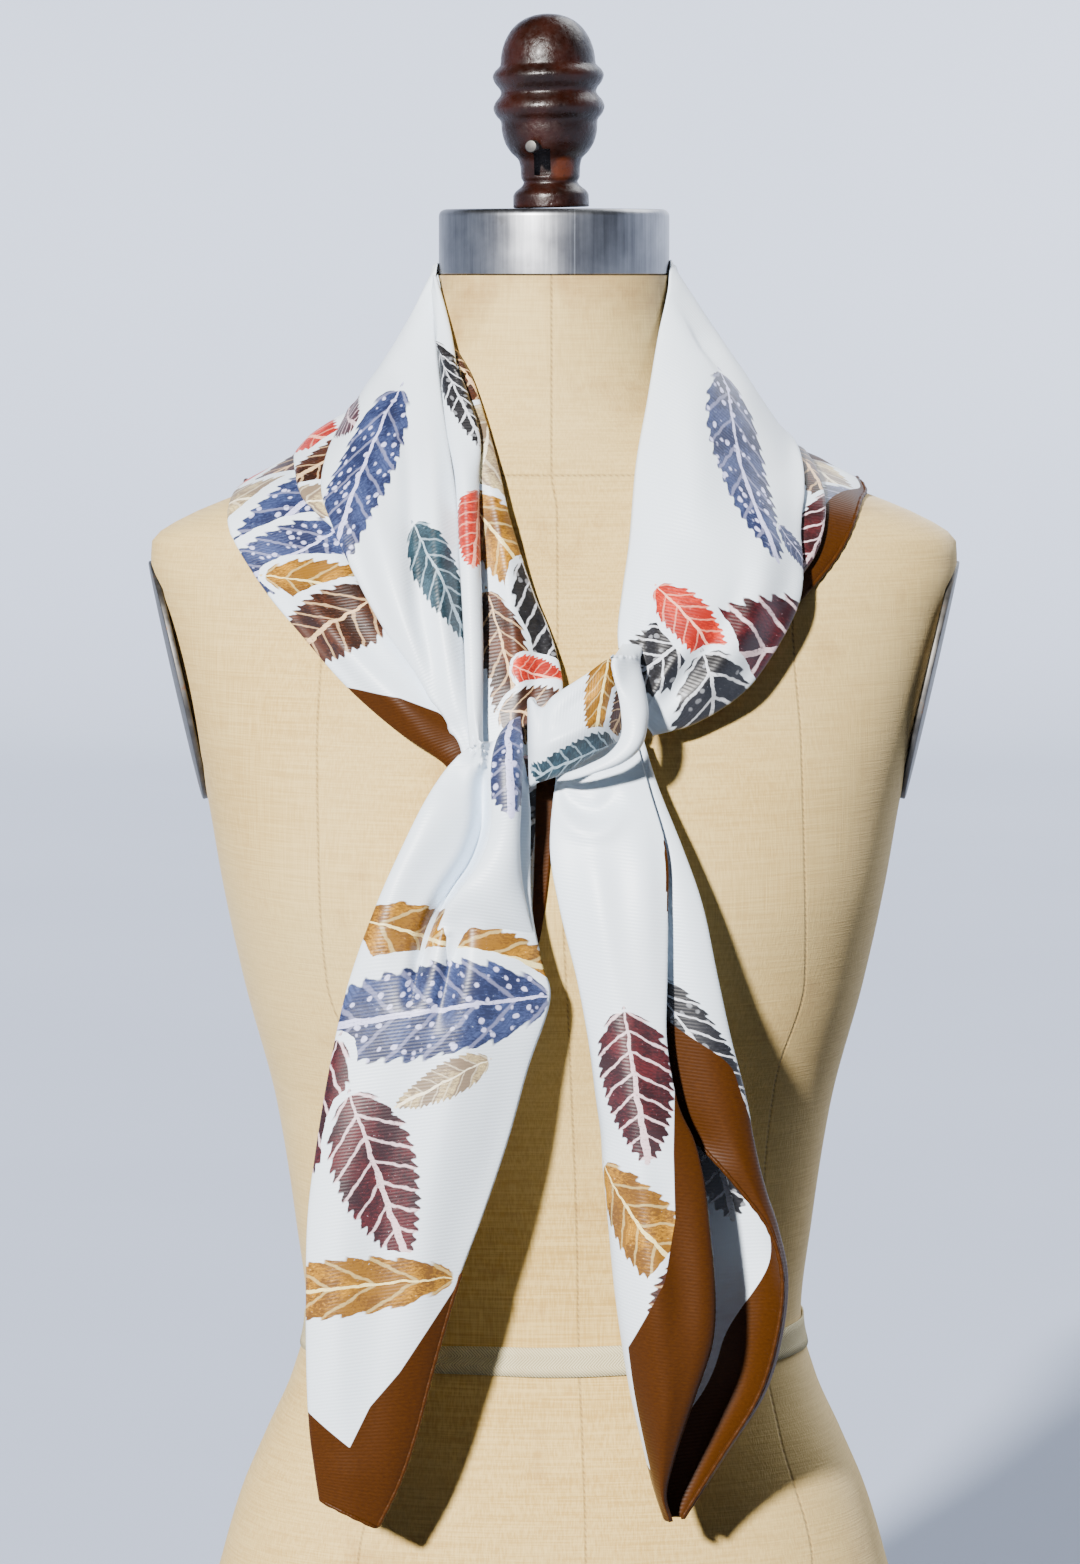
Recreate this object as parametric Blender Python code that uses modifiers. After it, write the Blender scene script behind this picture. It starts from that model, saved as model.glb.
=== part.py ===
"""A 90 cm silk square, folded on the diagonal and knotted in front of a linen dress form.

Frame: metres, +Z up, the front of the form faces -Y and +X is on the right of someone
looking at it. The origin is in the middle of the form's flat bottom. The tables are in
millimetres.
"""
import math

import bmesh
import bpy
import numpy as np
from mathutils import Matrix, Vector
from mathutils.bvhtree import BVHTree

MM = 0.001
SEAM_GAP = 0.35 * MM         # between pieces that touch

# ---- driving sizes of the dress form -------------------------------------------------
FORM_SIDES = 36              # facets round the torso
FORM_ROUNDNESS = 2.3         # exponent of its rounded sections
NECK_TOP = 696.0
NECK_CENTRE_Y = 3.0
BAND_RADIUS = 49.2
BAND_HEIGHT = 28.0
BAND_EDGE = 3.0              # rounding of its upper edge
TAPE_LOW, TAPE_HIGH = 236.8, 248.8
TAPE_THICK = 1.1
ARM_PLATE_TOP = (171.5, 576.0)       # x and z of the cut's upper end
ARM_PLATE_LEAN = 12.5                # degrees: the plate also looks down
ARM_PLATE_TURN = 6.0                 # degrees: and a little forward
ARM_PLATE_HALF = (54.0, 41.0)        # half height and half depth
ARM_CUT_DEEP = 40.0                  # of the oval cutter that flattens the arm opening
ARM_PLATE_THICK = 2.5
ARM_PLATE_INSET = 1.5                # plate's rim inside the opening's
PIN_RADIUS = 2.7
SLOT_SIZE = (7.0, 30.0, 11.0)
FINIAL_X = -1.2                      # it stands a little off the middle
FINIAL_LEAN = -1.3                   # degrees, to the left
FINIAL_LIFT = 0.45                   # keeps the leaning foot clear of the band

# ---- driving sizes of the cloth --------------------------------------------------------
WALL = 1.2                   # thickness of the solid that stands for the silk
CLEAR = 1.1                  # centre of the wall above what it lies on
FOLD_RADIUS = 1.9            # a soft fold's bend

# Sections of the torso from the bottom up.
#         height, half width, front, back
TORSO = [
    (0.0, 148, 96, 112),
    (55.0, 155, 103, 119),
    (105.0, 153, 103, 119),
    (143.0, 144, 99, 111),
    (170.0, 136, 95, 103),
    (196.0, 125, 90, 93),
    (222.0, 113.5, 85.5, 84),
    (249.0, 107, 83, 78),
    (290.0, 111.5, 87, 76),
    (342.0, 119.5, 97, 80),
    (394.0, 133, 114, 88),
    (436.0, 142, 122, 95),
    (476.0, 149, 116, 100),
    (515.0, 158, 103, 102),
    (550.0, 167, 88, 101),
    (573.0, 172.5, 77, 98),
    (583.0, 172, 72, 94),
    (591.0, 162, 69, 91),
    (600.0, 142, 67, 87),
    (610.0, 116, 64, 82),
    (620.0, 93, 61, 77),
    (630.0, 73, 57, 71),
    (640.0, 60, 53, 66),
    (655.0, 53, 50, 60),
    (675.0, 49.5, 48, 55),
    (NECK_TOP, 48.8, 46.3, 52),
]

# Turned profile of the finial, from the top down: height above the neck band, radius.
FINIAL = [
    (82.4, 0.0), (81.8, 5.5), (79.6, 11.0), (75.4, 15.6), (70.0, 18.6), (65.0, 19.9), (60.8, 20.4),
    (58.6, 22.6), (56.2, 23.7), (53.4, 22.8), (50.4, 20.6), (49.2, 20.3), (47.8, 20.9),
    (45.2, 22.9), (42.8, 23.7), (40.0, 22.8), (37.0, 20.6), (33.0, 20.3), (28.5, 19.2),
    (24.0, 16.6), (20.5, 13.4), (17.0, 12.7), (13.0, 12.5), (11.2, 11.5), (9.6, 12.4),
    (7.2, 15.2), (5.6, 16.1), (0.8, 16.2), (0.35, 15.6), (0.35, 0.0),
]

# The back of the collar: nine lines from the neck out to the hem, from the left shoulder
# round to the right one. Each row: x, y, z.
BACK_LINES = [
    [(-49, 0, 699), (-53, 0, 678), (-66, 0, 653), (-91, 0, 627), (-133, 0, 607)],
    [(-47, 20, 700), (-56, 28, 673), (-74, 36, 643), (-100, 42, 618), (-132, 44, 601)],
    [(-38, 40, 701), (-52, 58, 666), (-77, 76, 624), (-104, 86, 580), (-122, 84, 541)],
    [(-20, 53, 702), (-28, 70, 660), (-42, 92, 604), (-60, 103, 541), (-70, 106, 482)],
    [(0, 57, 702), (0, 74, 656), (0, 97, 592), (0, 107, 513), (0, 108, 428)],
    [(20, 53, 702), (28, 70, 660), (42, 92, 605), (59, 103, 543), (69, 106, 485)],
    [(38, 40, 701), (52, 58, 666), (77, 76, 624), (103, 86, 582), (120, 84, 544)],
    [(47, 20, 700), (56, 28, 673), (74, 36, 643), (99, 42, 619), (130, 44, 602)],
    [(49, 0, 699), (53, 0, 678), (66, 0, 656), (91, 0, 630), (131, 0, 609)],
]
# Soft swags across the back: how far from neck to hem, how proud, half width.
BACK_SWAGS = [(0.16, 5.0, 0.07), (0.40, 7.0, 0.08), (0.63, 6.0, 0.07), (0.84, 3.5, 0.06)]

# Each stretch of cloth: stations along it, each with its two edges and how far the middle
# stands proud of a straight line between them.
#    left edge x, y, z,    right edge x, y, z,    proud
LEFT_INNER = [
    (-49, -8, 690, -47, -12, 690, 0),
    (-48, -20, 668, -43, -28, 669, 0),
    (-43, -36, 654, -35, -41, 655, 0),
    (-38, -52, 638, -28, -54, 637, 1),
    (-35, -66, 616, -22, -67, 616, 1),
    (-33, -75, 595, -17, -76, 595, 2),
    (-31, -84, 570, -9, -84, 570, 3),
    (-30, -94, 546, 0, -96, 546, 4),
    (-30, -104, 522, 4, -108, 527, 4),
    (-22, -112, 505, 2, -112, 507, 3),
]
LEFT_OUTER = [
    (-134, -1.8, 604, -89, -1.8, 627, 3),
    (-136, -24, 597, -84, -24, 614, 4),
    (-132, -50, 582, -77, -55, 594, 4),
    (-121, -72, 566, -65, -78, 571, 5),
    (-106, -88, 549, -55, -95, 546, 5),
    (-87, -100, 528, -45, -106, 527, 5),
    (-66, -108, 510, -37, -110, 512, 3),
    (-48, -113, 497, -31, -113, 503, 2),
]
LEFT_FOLD = [
    (-107, -1.8, 624, -75, -1.8, 642, 3),
    (-111, -15, 616, -74, -15, 634, 4),
    (-107, -34, 607, -73, -38, 620, 3),
    (-99, -56, 597, -72, -60, 602, 2),
    (-84, -78, 584, -70, -80, 586, 1),
]
LEFT_PANEL = [
    (-79, -1.8, 643, -50, -1.8, 701, 0),
    (-87, -12, 634, -51, -8, 689, 2),
    (-95, -34, 621, -50, -20, 669, 4),
    (-98, -58, 607, -47, -42, 644, 5),
    (-92, -78, 591, -43, -64, 622, 6),
    (-83, -91, 573, -39, -81, 595, 7),
    (-71, -102, 551, -38, -95, 567, 7),
    (-57, -111, 532, -36, -106, 539, 5),
    (-43, -117, 504, -32, -117, 505, 2),
]
LEFT_ROLL = [
    (-51, -8, 696, -49, -12, 696, 1),
    (-51, -18, 682, -46, -24, 682, 1),
    (-48, -36, 656, -37, -44, 655, 3),
    (-45, -58, 632, -30, -62, 631, 4),
    (-41, -74, 611, -30, -76, 610, 5),
    (-39, -90, 579, -29, -90, 579, 5),
    (-37, -104, 547, -28, -105, 547, 4),
    (-35, -118, 507, -28, -118, 509, 3),
]
RIGHT_OUTER = [
    (96, -1.8, 619, 131, -1.8, 608, 3),
    (98, -15, 613, 132, -15, 602, 3),
    (97, -38, 600, 124, -38, 592, 4),
    (97, -58, 584, 115, -58, 576, 3),
    (86, -78, 560, 98, -78, 558, 2),
]
RIGHT_UNDER = [
    (91, -1.8, 624, 107, -1.8, 616, 2),
    (92, -19, 616, 110, -17, 609, 3),
    (92, -42, 599, 110, -40, 593, 3),
    (92, -62, 582, 108, -60, 578, 3),
    (82, -82, 560, 94, -81, 560, 2),
]
RIGHT_PANEL = [
    (49, -1.8, 702, 101, -1.8, 621, 1),
    (48, -14, 689, 103, -20, 616, 5),
    (44, -27, 671, 103, -46, 604, 8),
    (39, -48, 644, 103, -66, 589, 10),
    (34, -66, 618, 104, -78, 575, 12),
    (31, -82, 587, 102, -88, 561, 13),
    (28, -94, 567, 93, -98, 544, 13),
    (26, -104, 551, 79, -108, 526, 11),
    (27, -112, 538, 59, -114, 513, 7),
    (29, -117, 524, 41, -118, 508, 3),
]
KNOT_WRAP = [
    (33, -120, 509, 33, -120, 540, 3),
    (21, -133, 503, 22, -131, 540, 5),
    (11, -139, 498, 11, -137, 535, 7),
    (-1, -140, 494, -1, -137, 529, 7),
    (-9, -134, 490, -10, -131, 526, 6),
    (-13, -121, 489, -14, -118, 524, 4),
]
KNOT_ROLL = [
    (28, -112, 545, 34, -112, 545, 0),
    (26, -122, 539, 38, -121, 538, 3),
    (25, -134, 530, 40, -130, 528, 5),
    (26, -142, 520, 40, -136, 517, 5),
    (26, -145, 510, 36, -140, 504, 5),
    (20, -146, 503, 26, -141, 496, 4),
    (12, -145, 499, 15, -141, 492, 3),
    (2, -142, 495, 3, -139, 489, 2),
    (-7, -134, 492, -7, -132, 488, 1),
]
KNOT_LOBE = [
    (-16, -122, 517, -11, -122, 519, 1),
    (-23, -130, 509, -11, -129, 510, 3),
    (-28, -136, 497, -11, -134, 498, 5),
    (-28, -138, 487, -12, -135, 487, 4),
    (-24, -137, 477, -14, -136, 476, 3),
    (-19, -135, 467, -15, -135, 466, 1),
]
TAIL_LEFT = [
    (-32, -127, 508, -16, -124, 510, 1),
    (-44, -128, 498, -12, -128, 496, 3),
    (-54, -131, 483, -10, -132, 479, 5),
    (-64, -133, 463, -10, -133, 458, 7),
    (-73, -135, 443, -9, -135, 437, 9),
    (-81, -136, 422, -5, -135, 417, 10),
    (-87, -136, 402, -2, -135, 402, 11),
    (-93, -136, 374, -11, -135, 374, 11),
    (-98, -136, 345, -19, -135, 345, 11),
    (-102, -135, 314, -29, -135, 315, 10),
    (-103, -134, 283, -40, -135, 285, 9),
    (-103, -133, 249, -50, -134, 250, 8),
    (-102, -132, 225, -57, -134, 223, 6),
    (-100, -131, 208, -64, -133, 202, 5),
    (-98, -130, 195, -73, -132, 183, 3),
]

# The right tail is folded on the diagonal, its fold on the left, and opens downwards.
# height, fold, front's right edge, right side, hem of the flap, tuck of the front, back y, front y
TAIL_RIGHT = [
    (507, 4, 33, 36, 29, 5, -112, -120),
    (488, 0, 38, 42, 33, 5, -118, -130),
    (463, -2, 45, 52, 39, 6, -126, -140),
    (440, 2, 45.5, 60, 39, 8, -128, -146),
    (411, 9.5, 45.5, 66, 39, 9, -128, -149),
    (386, 14, 45.5, 71.5, 41, 10, -126, -151),
    (362, 17, 46.5, 78, 48, 10, -124, -153),
    (347, 19, 48.5, 81, 56, 9, -122, -154),
    (334, 20, 50, 83.5, 68, 8, -121, -155),
    (322, 21, 53, 86.5, 78, 6, -119, -155),
    (308, 22, 58, 91, 87.5, 4, -117, -155),
    (288, 24, 64.5, 95, 92.5, 3, -115, -155),
    (264, 27.5, 63.5, 93, 90.5, 3, -114, -154),
    (239, 31.5, 56.5, 86, 83.5, 3, -113, -150),
    (215, 37, 49.5, 71.5, 69.5, 2, -116, -144),
    (198, 41.5, 46, 61, 59.5, 1.5, -120, -139),
    (186, 45.3, 48.5, 53.5, 52.6, 1, -125, -134),
]


# ---- small helpers ---------------------------------------------------------------------
def clear_scene():
    for item in list(bpy.data.objects):
        bpy.data.objects.remove(item, do_unlink=True)


def make_collection(name):
    group = bpy.data.collections.new(name)
    bpy.context.scene.collection.children.link(group)
    return group


def make_material(name, colour, roughness, metallic=0.0):
    material = bpy.data.materials.new(name)
    material.use_nodes = True
    shader = material.node_tree.nodes["Principled BSDF"]
    shader.inputs["Base Color"].default_value = (*colour, 1.0)
    shader.inputs["Roughness"].default_value = roughness
    shader.inputs["Metallic"].default_value = metallic
    material.diffuse_color = (*colour, 1.0)
    return material


def add_object(name, mesh, material, group):
    item = bpy.data.objects.new(name, mesh)
    mesh.materials.append(material)
    group.objects.link(item)
    return item


def mesh_from(name, bm, smooth_angle=50.0):
    mesh = bpy.data.meshes.new(name)
    bmesh.ops.recalc_face_normals(bm, faces=bm.faces)
    bm.to_mesh(mesh)
    bm.free()
    mesh.shade_smooth()
    mesh.set_sharp_from_angle(angle=math.radians(smooth_angle))
    return mesh


def through_rows(rows, samples):
    """Rows of a table read at even steps along a smooth curve through them."""
    rows = np.asarray(rows, float)
    last = len(rows) - 1
    result = []
    for t in np.linspace(0.0, last, samples):
        i = min(int(t), last - 1)
        f = t - i
        a, b = rows[i], rows[i + 1]
        before = rows[i - 1] if i > 0 else 2 * a - b
        after = rows[i + 2] if i + 2 <= last else 2 * b - a
        result.append(
            0.5 * (2 * a + (b - before) * f
                   + (2 * before - 5 * a + 4 * b - after) * f ** 2
                   + (3 * a - before - 3 * b + after) * f ** 3)
        )
    return np.array(result)


def rows_at(rows, key, value):
    """A table's row at a value of its rising first column, along smooth monotone curves."""
    rows = np.asarray(rows, float)
    xs = rows[:, key]
    slopes = np.diff(rows, axis=0) / np.diff(xs)[:, None]
    i = int(np.clip(np.searchsorted(xs, value) - 1, 0, len(xs) - 2))

    def tangent(k):
        if k == 0 or k == len(xs) - 1:
            return slopes[min(k, len(slopes) - 1)]
        a, b = slopes[k - 1], slopes[k]
        mean = 2 * a * b / np.where(np.abs(a + b) < 1e-9, 1.0, a + b)
        return np.where(a * b > 0, mean, 0.0)

    step = xs[i + 1] - xs[i]
    f = (value - xs[i]) / step
    return ((2 * f ** 3 - 3 * f ** 2 + 1) * rows[i] + (f ** 3 - 2 * f ** 2 + f) * step * tangent(i)
            + (3 * f ** 2 - 2 * f ** 3) * rows[i + 1] + (f ** 3 - f ** 2) * step * tangent(i + 1))


# ---- the dress form --------------------------------------------------------------------
def torso_ring(height, outset=0.0):
    """Points round the torso at one height, in metres."""
    _, half, front, back = rows_at(TORSO, 0, height)
    blend = np.clip((height - 600.0) / 60.0, 0.0, 1.0)
    power = 2.0 / (FORM_ROUNDNESS * (1 - blend) + 2.0 * blend)
    ring = []
    for k in range(FORM_SIDES):
        angle = 2 * math.pi * k / FORM_SIDES
        c, s = math.cos(angle), math.sin(angle)
        depth = back if s > 0 else front
        x = (half + outset) * math.copysign(abs(c) ** power, c)
        y = (depth + outset) * math.copysign(abs(s) ** power, s)
        ring.append(Vector((x, y, height)) * MM)
    return ring


def loft(bm, rings):
    """Joins closed rings of points one above the other and caps both ends."""
    rows = [[bm.verts.new(p) for p in ring] for ring in rings]
    sides = len(rows[0])
    for low, high in zip(rows, rows[1:]):
        for k in range(sides):
            n = (k + 1) % sides
            bm.faces.new((low[k], low[n], high[n], high[k]))
    bm.faces.new(rows[0][::-1])
    bm.faces.new(rows[-1])


def arm_plane(side):
    """Centre and outward normal of the flat cut where an arm would start."""
    x, z = ARM_PLATE_TOP
    lean, turn = math.radians(ARM_PLATE_LEAN), math.radians(ARM_PLATE_TURN)
    normal = Vector((side * math.cos(lean) * math.cos(turn), -math.sin(turn), -math.sin(lean)))
    normal.normalize()
    down = ARM_PLATE_HALF[0]
    centre = Vector((side * (x - down * math.sin(lean)), 2.0, z - down * math.cos(lean))) * MM
    return centre, normal


def build_torso(group, cutters, material):
    levels = [row[0] for row in TORSO]
    heights = []
    for low, high in zip(levels, levels[1:]):
        heights.append(low)
        if high - low > 24.0:
            heights.append((low + high) / 2)
    heights.append(levels[-1])
    bm = bmesh.new()
    loft(bm, [torso_ring(h) for h in heights])
    torso = add_object("torso", mesh_from("torso", bm, 40.0), material, group)
    for side in (-1, 1):
        centre, normal = arm_plane(side)
        cutter = oval_disc("arm_cutter", ARM_PLATE_HALF, ARM_CUT_DEEP, 32)
        cutters.objects.link(cutter)
        cutter.matrix_world = facing(centre + normal * ARM_CUT_DEEP / 2 * MM, normal)
        cutter.hide_render = True
        cutter.display_type = "WIRE"
        flat = torso.modifiers.new("arm_opening", "BOOLEAN")
        flat.operation = "DIFFERENCE"
        flat.solver = "EXACT"
        flat.object = cutter
    return torso


def oval_disc(name, half_size, thick, sides):
    """A disc of oval outline, its axis along its own Z."""
    bm = bmesh.new()
    bmesh.ops.create_cone(bm, cap_ends=True, segments=sides, radius1=1.0, radius2=1.0, depth=1.0)
    high, deep = half_size
    for vert in bm.verts:
        vert.co = Vector((vert.co.x * high, vert.co.y * deep, vert.co.z * thick)) * MM
    return bpy.data.objects.new(name, mesh_from(name, bm, 30.0))


def facing(place, normal):
    """A placement whose Z follows a normal and whose X points as far up as it can."""
    up = Vector((0.0, 0.0, 1.0))
    long_axis = (up - normal * up.dot(normal)).normalized()
    axes = Matrix((long_axis, normal.cross(long_axis), normal)).transposed()
    return Matrix.Translation(place) @ axes.to_4x4()


def build_arm_plate(side, name, group, material):
    """A flat oval plate that closes the arm opening."""
    centre, normal = arm_plane(side)
    half_size = [size - ARM_PLATE_INSET for size in ARM_PLATE_HALF]
    plate = oval_disc(name, half_size, ARM_PLATE_THICK, 32)
    plate.data.materials.append(material)
    group.objects.link(plate)
    plate.matrix_world = facing(centre + normal * (ARM_PLATE_THICK / 2 * MM + SEAM_GAP), normal)
    bevel = plate.modifiers.new("edge", "BEVEL")
    bevel.width = 0.8 * MM
    bevel.segments = 2
    return plate


def build_turned(name, profile, place, group, material, steps):
    """A turned shape: profile rows are height above base and radius, top to bottom."""
    mesh = bpy.data.meshes.new(name)
    points = [(radius * MM, 0.0, height * MM) for height, radius in profile]
    mesh.from_pydata(points, [(i, i + 1) for i in range(len(points) - 1)], [])
    turned = add_object(name, mesh, material, group)
    turned.matrix_world = place
    screw = turned.modifiers.new("turn", "SCREW")
    screw.steps = steps
    screw.render_steps = steps
    screw.use_merge_vertices = True
    screw.merge_threshold = 0.00002
    screw.use_smooth_shade = True
    return turned


def band_profile():
    """Neck band: a plain cylinder with a rounded upper edge."""
    profile = [(BAND_HEIGHT, 0.0)]
    for k in range(5):
        angle = math.radians(90 - 22.5 * k)
        profile.append((BAND_HEIGHT - BAND_EDGE + BAND_EDGE * math.sin(angle),
                        BAND_RADIUS - BAND_EDGE + BAND_EDGE * math.cos(angle)))
    profile += [(0.35, BAND_RADIUS), (0.35, 0.0)]
    return profile


def finial_place():
    """Where the finial's foot stands on the neck band, and its slight lean."""
    foot = Vector((FINIAL_X, NECK_CENTRE_Y, NECK_TOP + BAND_HEIGHT + FINIAL_LIFT)) * MM
    return Matrix.Translation(foot) @ Matrix.Rotation(math.radians(FINIAL_LEAN), 4, "Y")


def build_finial(group, cutters, material):
    finial = build_turned("finial", FINIAL, finial_place(), group, material, 28)
    bm = bmesh.new()
    bmesh.ops.create_cube(bm, size=1.0)
    for vert in bm.verts:
        vert.co = Vector([c * s * MM for c, s in zip(vert.co, SLOT_SIZE)])
    cutter = bpy.data.objects.new("slot_cutter", mesh_from("slot_cutter", bm))
    cutters.objects.link(cutter)
    cutter.matrix_world = finial_place() @ Matrix.Translation(Vector((-3.4, -20.0, 19.5)) * MM)
    cutter.hide_render = True
    cutter.display_type = "WIRE"
    slot = finial.modifiers.new("slot", "BOOLEAN")
    slot.operation = "DIFFERENCE"
    slot.solver = "EXACT"
    slot.object = cutter
    return finial


def build_pin(group, material):
    """The pin that stands in front of the finial's slot."""
    bm = bmesh.new()
    bmesh.ops.create_cone(bm, cap_ends=True, segments=16, radius1=PIN_RADIUS * MM,
                          radius2=PIN_RADIUS * MM, depth=4.0 * MM)
    pin = add_object("finial_pin", mesh_from("finial_pin", bm, 30.0), material, group)
    turn = Matrix.Rotation(math.radians(-22.0), 4, "Z") @ Matrix.Rotation(math.radians(90.0), 4, "X")
    pin.matrix_world = finial_place() @ Matrix.Translation(Vector((-7.4, -20.5, 26.0)) * MM) @ turn
    return pin


def build_tape(group, material):
    """The tape round the waist, a thin closed band that follows the torso."""
    heights = [TAPE_LOW, (TAPE_LOW + TAPE_HIGH) / 2, TAPE_HIGH]
    inner = [torso_ring(h, SEAM_GAP / MM + 0.35) for h in heights]
    outer = [torso_ring(h, SEAM_GAP / MM + 0.35 + TAPE_THICK) for h in heights]
    bm = bmesh.new()
    rings = [[bm.verts.new(p) for p in ring] for ring in inner + outer[::-1]]
    for a, b in zip(rings, rings[1:] + rings[:1]):
        for k in range(FORM_SIDES):
            n = (k + 1) % FORM_SIDES
            bm.faces.new((a[k], a[n], b[n], b[k]))
    return add_object("waist_tape", mesh_from("waist_tape", bm, 40.0), material, group)


# ---- the cloth -------------------------------------------------------------------------
def ramp(value, low, high):
    t = min(max((value - low) / (high - low), 0.0), 1.0)
    return t * t * (3 - 2 * t)


def outward(point):
    """The way off the form at a point: forward or back on the chest, up over the
    shoulders, sideways at the neck."""
    x, y, z = point
    neck = ramp(z, 0.615, 0.660)
    flat = Vector((x * (0.12 + 0.88 * neck), y - 0.003, 0.0))
    if flat.length < 1e-6:
        flat = Vector((0.0, -1.0, 0.0))
    flat.normalize()
    top = (1.0 - neck) * (1.0 - ramp(abs(y), 0.010, 0.050)) * ramp(z, 0.570, 0.600)
    return (flat * (1.0 - 0.85 * top) + Vector((0.0, 0.0, top + 0.2 * (1.0 - neck)))).normalized()


def lift_needed(point, clear, below):
    """How far a point has to move outward to clear all that lies below it."""
    way = outward(point)
    start = point + way * 0.25
    needed = 0.0
    for tree in below:
        hit, normal = tree.ray_cast(start, -way, 0.5)[:2]
        if hit is not None:
            slant = max(0.45, abs(way.dot(normal)))
            needed = max(needed, (hit - point).dot(way) + clear / slant)
    return needed


def settle(grid, clear, below, fine=3):
    """Lifts a grid of points clear of the layers below, between its points too, as
    little and as smoothly as it can."""
    rows, columns = len(grid), len(grid[0])
    samples = []
    for i in range((rows - 1) * fine + 1):
        for j in range((columns - 1) * fine + 1):
            a, b = min(i // fine, rows - 2), min(j // fine, columns - 2)
            f, g = i / fine - a, j / fine - b
            top = grid[a][b].lerp(grid[a][b + 1], g)
            low = grid[a + 1][b].lerp(grid[a + 1][b + 1], g)
            room = clear[b] * (1 - g) + clear[b + 1] * g
            lift = lift_needed(top.lerp(low, f), room, below)
            if lift > 0.0:
                weights = np.outer((1 - f, f), (1 - g, g))
                samples.append((a, b, weights, float((weights ** 2).sum()), lift))
    lift = np.zeros((rows, columns))
    for turn in range(24):
        if turn < 16:
            padded = np.pad(lift, 1, mode="edge")
            around = [padded[a:a + rows, b:b + columns] for a in range(3) for b in range(3)]
            lift = np.mean(around, axis=0)
        for a, b, weights, square, needed in samples:
            short = needed - float((lift[a:a + 2, b:b + 2] * weights).sum())
            if short > 0.0:
                lift[a:a + 2, b:b + 2] += weights * short / square
    for i in range(rows):
        for j in range(columns):
            grid[i][j] = grid[i][j] + outward(grid[i][j]) * lift[i, j]
    return grid


def grid_normals(grid):
    """Unit normals of a grid of points, facing off the form."""
    rows, columns = len(grid), len(grid[0])
    normals = []
    for i in range(rows):
        line = []
        for j in range(columns):
            along = grid[min(i + 1, rows - 1)][j] - grid[max(i - 1, 0)][j]
            across = grid[i][min(j + 1, columns - 1)] - grid[i][max(j - 1, 0)]
            normal = along.cross(across).normalized()
            line.append(normal if normal.dot(outward(grid[i][j])) > 0 else -normal)
        normals.append(line)
    return normals


def at_distance(line, distance):
    """The place and share of a polyline at a distance from its first point."""
    for k in range(len(line) - 1):
        step = (line[k + 1] - line[k]).length
        if distance <= step or k == len(line) - 2:
            return k, min(distance / max(step, 1e-9), 1.0)
        distance -= step


def turned_back(line, normals, radius, reach, bend_steps=3, back_steps=2):
    """Points of a fold at the start of a line: round the bend, then back underneath."""
    edge, normal = line[0], normals[0]
    inward = (line[1] - line[0]).normalized()
    points = []
    for k in range(1, bend_steps + 1):
        angle = math.pi * k / bend_steps
        points.append(edge - normal * radius * (1 - math.cos(angle))
                      - inward * radius * math.sin(angle))
    length = sum((b - a).length for a, b in zip(line, line[1:]))
    reach = min(reach, 0.45 * length)
    for k in range(1, back_steps + 1):
        i, f = at_distance(line, reach * k / back_steps)
        spot = line[i].lerp(line[i + 1], f)
        points.append(spot - normals[i].lerp(normals[i + 1], f) * 2 * radius)
    return points


def sheet_object(name, grid, material, group):
    """A sheet through a grid of points, with the wall added by Solidify."""
    bm = bmesh.new()
    rows = [[bm.verts.new(p) for p in line] for line in grid]
    for a, b in zip(rows, rows[1:]):
        for k in range(len(a) - 1):
            bm.faces.new((a[k], a[k + 1], b[k + 1], b[k]))
    cloth = add_object(name, mesh_from(name, bm, 80.0), material, group)
    wall = cloth.modifiers.new("wall", "SOLIDIFY")
    wall.thickness = WALL * MM
    wall.offset = 0.0
    return cloth


def surface_tree(item):
    """The finished surface of an object, in the world's frame."""
    bm = bmesh.new()
    bm.from_object(item, bpy.context.evaluated_depsgraph_get())
    bm.transform(item.matrix_world)
    tree = BVHTree.FromBMesh(bm)
    bm.free()
    return tree


def bend_radius(left, right, radius):
    """A fold's bend in millimetres, tighter where the stretch is narrow."""
    return min(radius, max(0.8, 0.2 * (right - left).length / MM))


def stretch(name, table, below, group, material, back_left=0.0, back_right=0.0,
            stations=12, across=8, radius=FOLD_RADIUS, room=CLEAR):
    """One stretch of cloth from its table, laid over what is below it, with its edges
    folded back underneath by the given reaches."""
    grid = []
    for row in through_rows(table, stations):
        left, right = Vector(row[0:3]) * MM, Vector(row[3:6]) * MM
        out = outward((left + right) / 2)
        side = (right - left).normalized()
        inset = (bend_radius(left, right, radius) + WALL / 2) * MM
        left += side * inset * (back_left > 0)
        right -= side * inset * (back_right > 0)
        out = (out - side * out.dot(side)).normalized()
        line = []
        for s in np.linspace(0.0, 1.0, across):
            proud = row[6] * MM * (4 * s * (1 - s)) ** 0.8
            line.append(left.lerp(right, s) + out * proud)
        grid.append(line)
    folded = [back_left > 0, back_right > 0]
    clear = []
    for s in np.linspace(0.0, 1.0, across):
        share = max(folded[0] * (1 - ramp(s, 0.4, 0.7)), folded[1] * ramp(s, 0.3, 0.6))
        clear.append((room + 2 * radius * share) * MM)
    grid = settle(grid, clear, below)
    normals = grid_normals(grid)
    full = []
    for line, normal in zip(grid, normals):
        points = list(line)
        bend = bend_radius(line[0], line[-1], radius) * MM
        if folded[0]:
            points = turned_back(line, normal, bend, back_left * MM)[::-1] + points
        if folded[1]:
            points = points + turned_back(line[::-1], normal[::-1], bend, back_right * MM)
        full.append(points)
    cloth = sheet_object(name, full, material, group)
    below.append(surface_tree(cloth))
    return cloth


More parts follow.
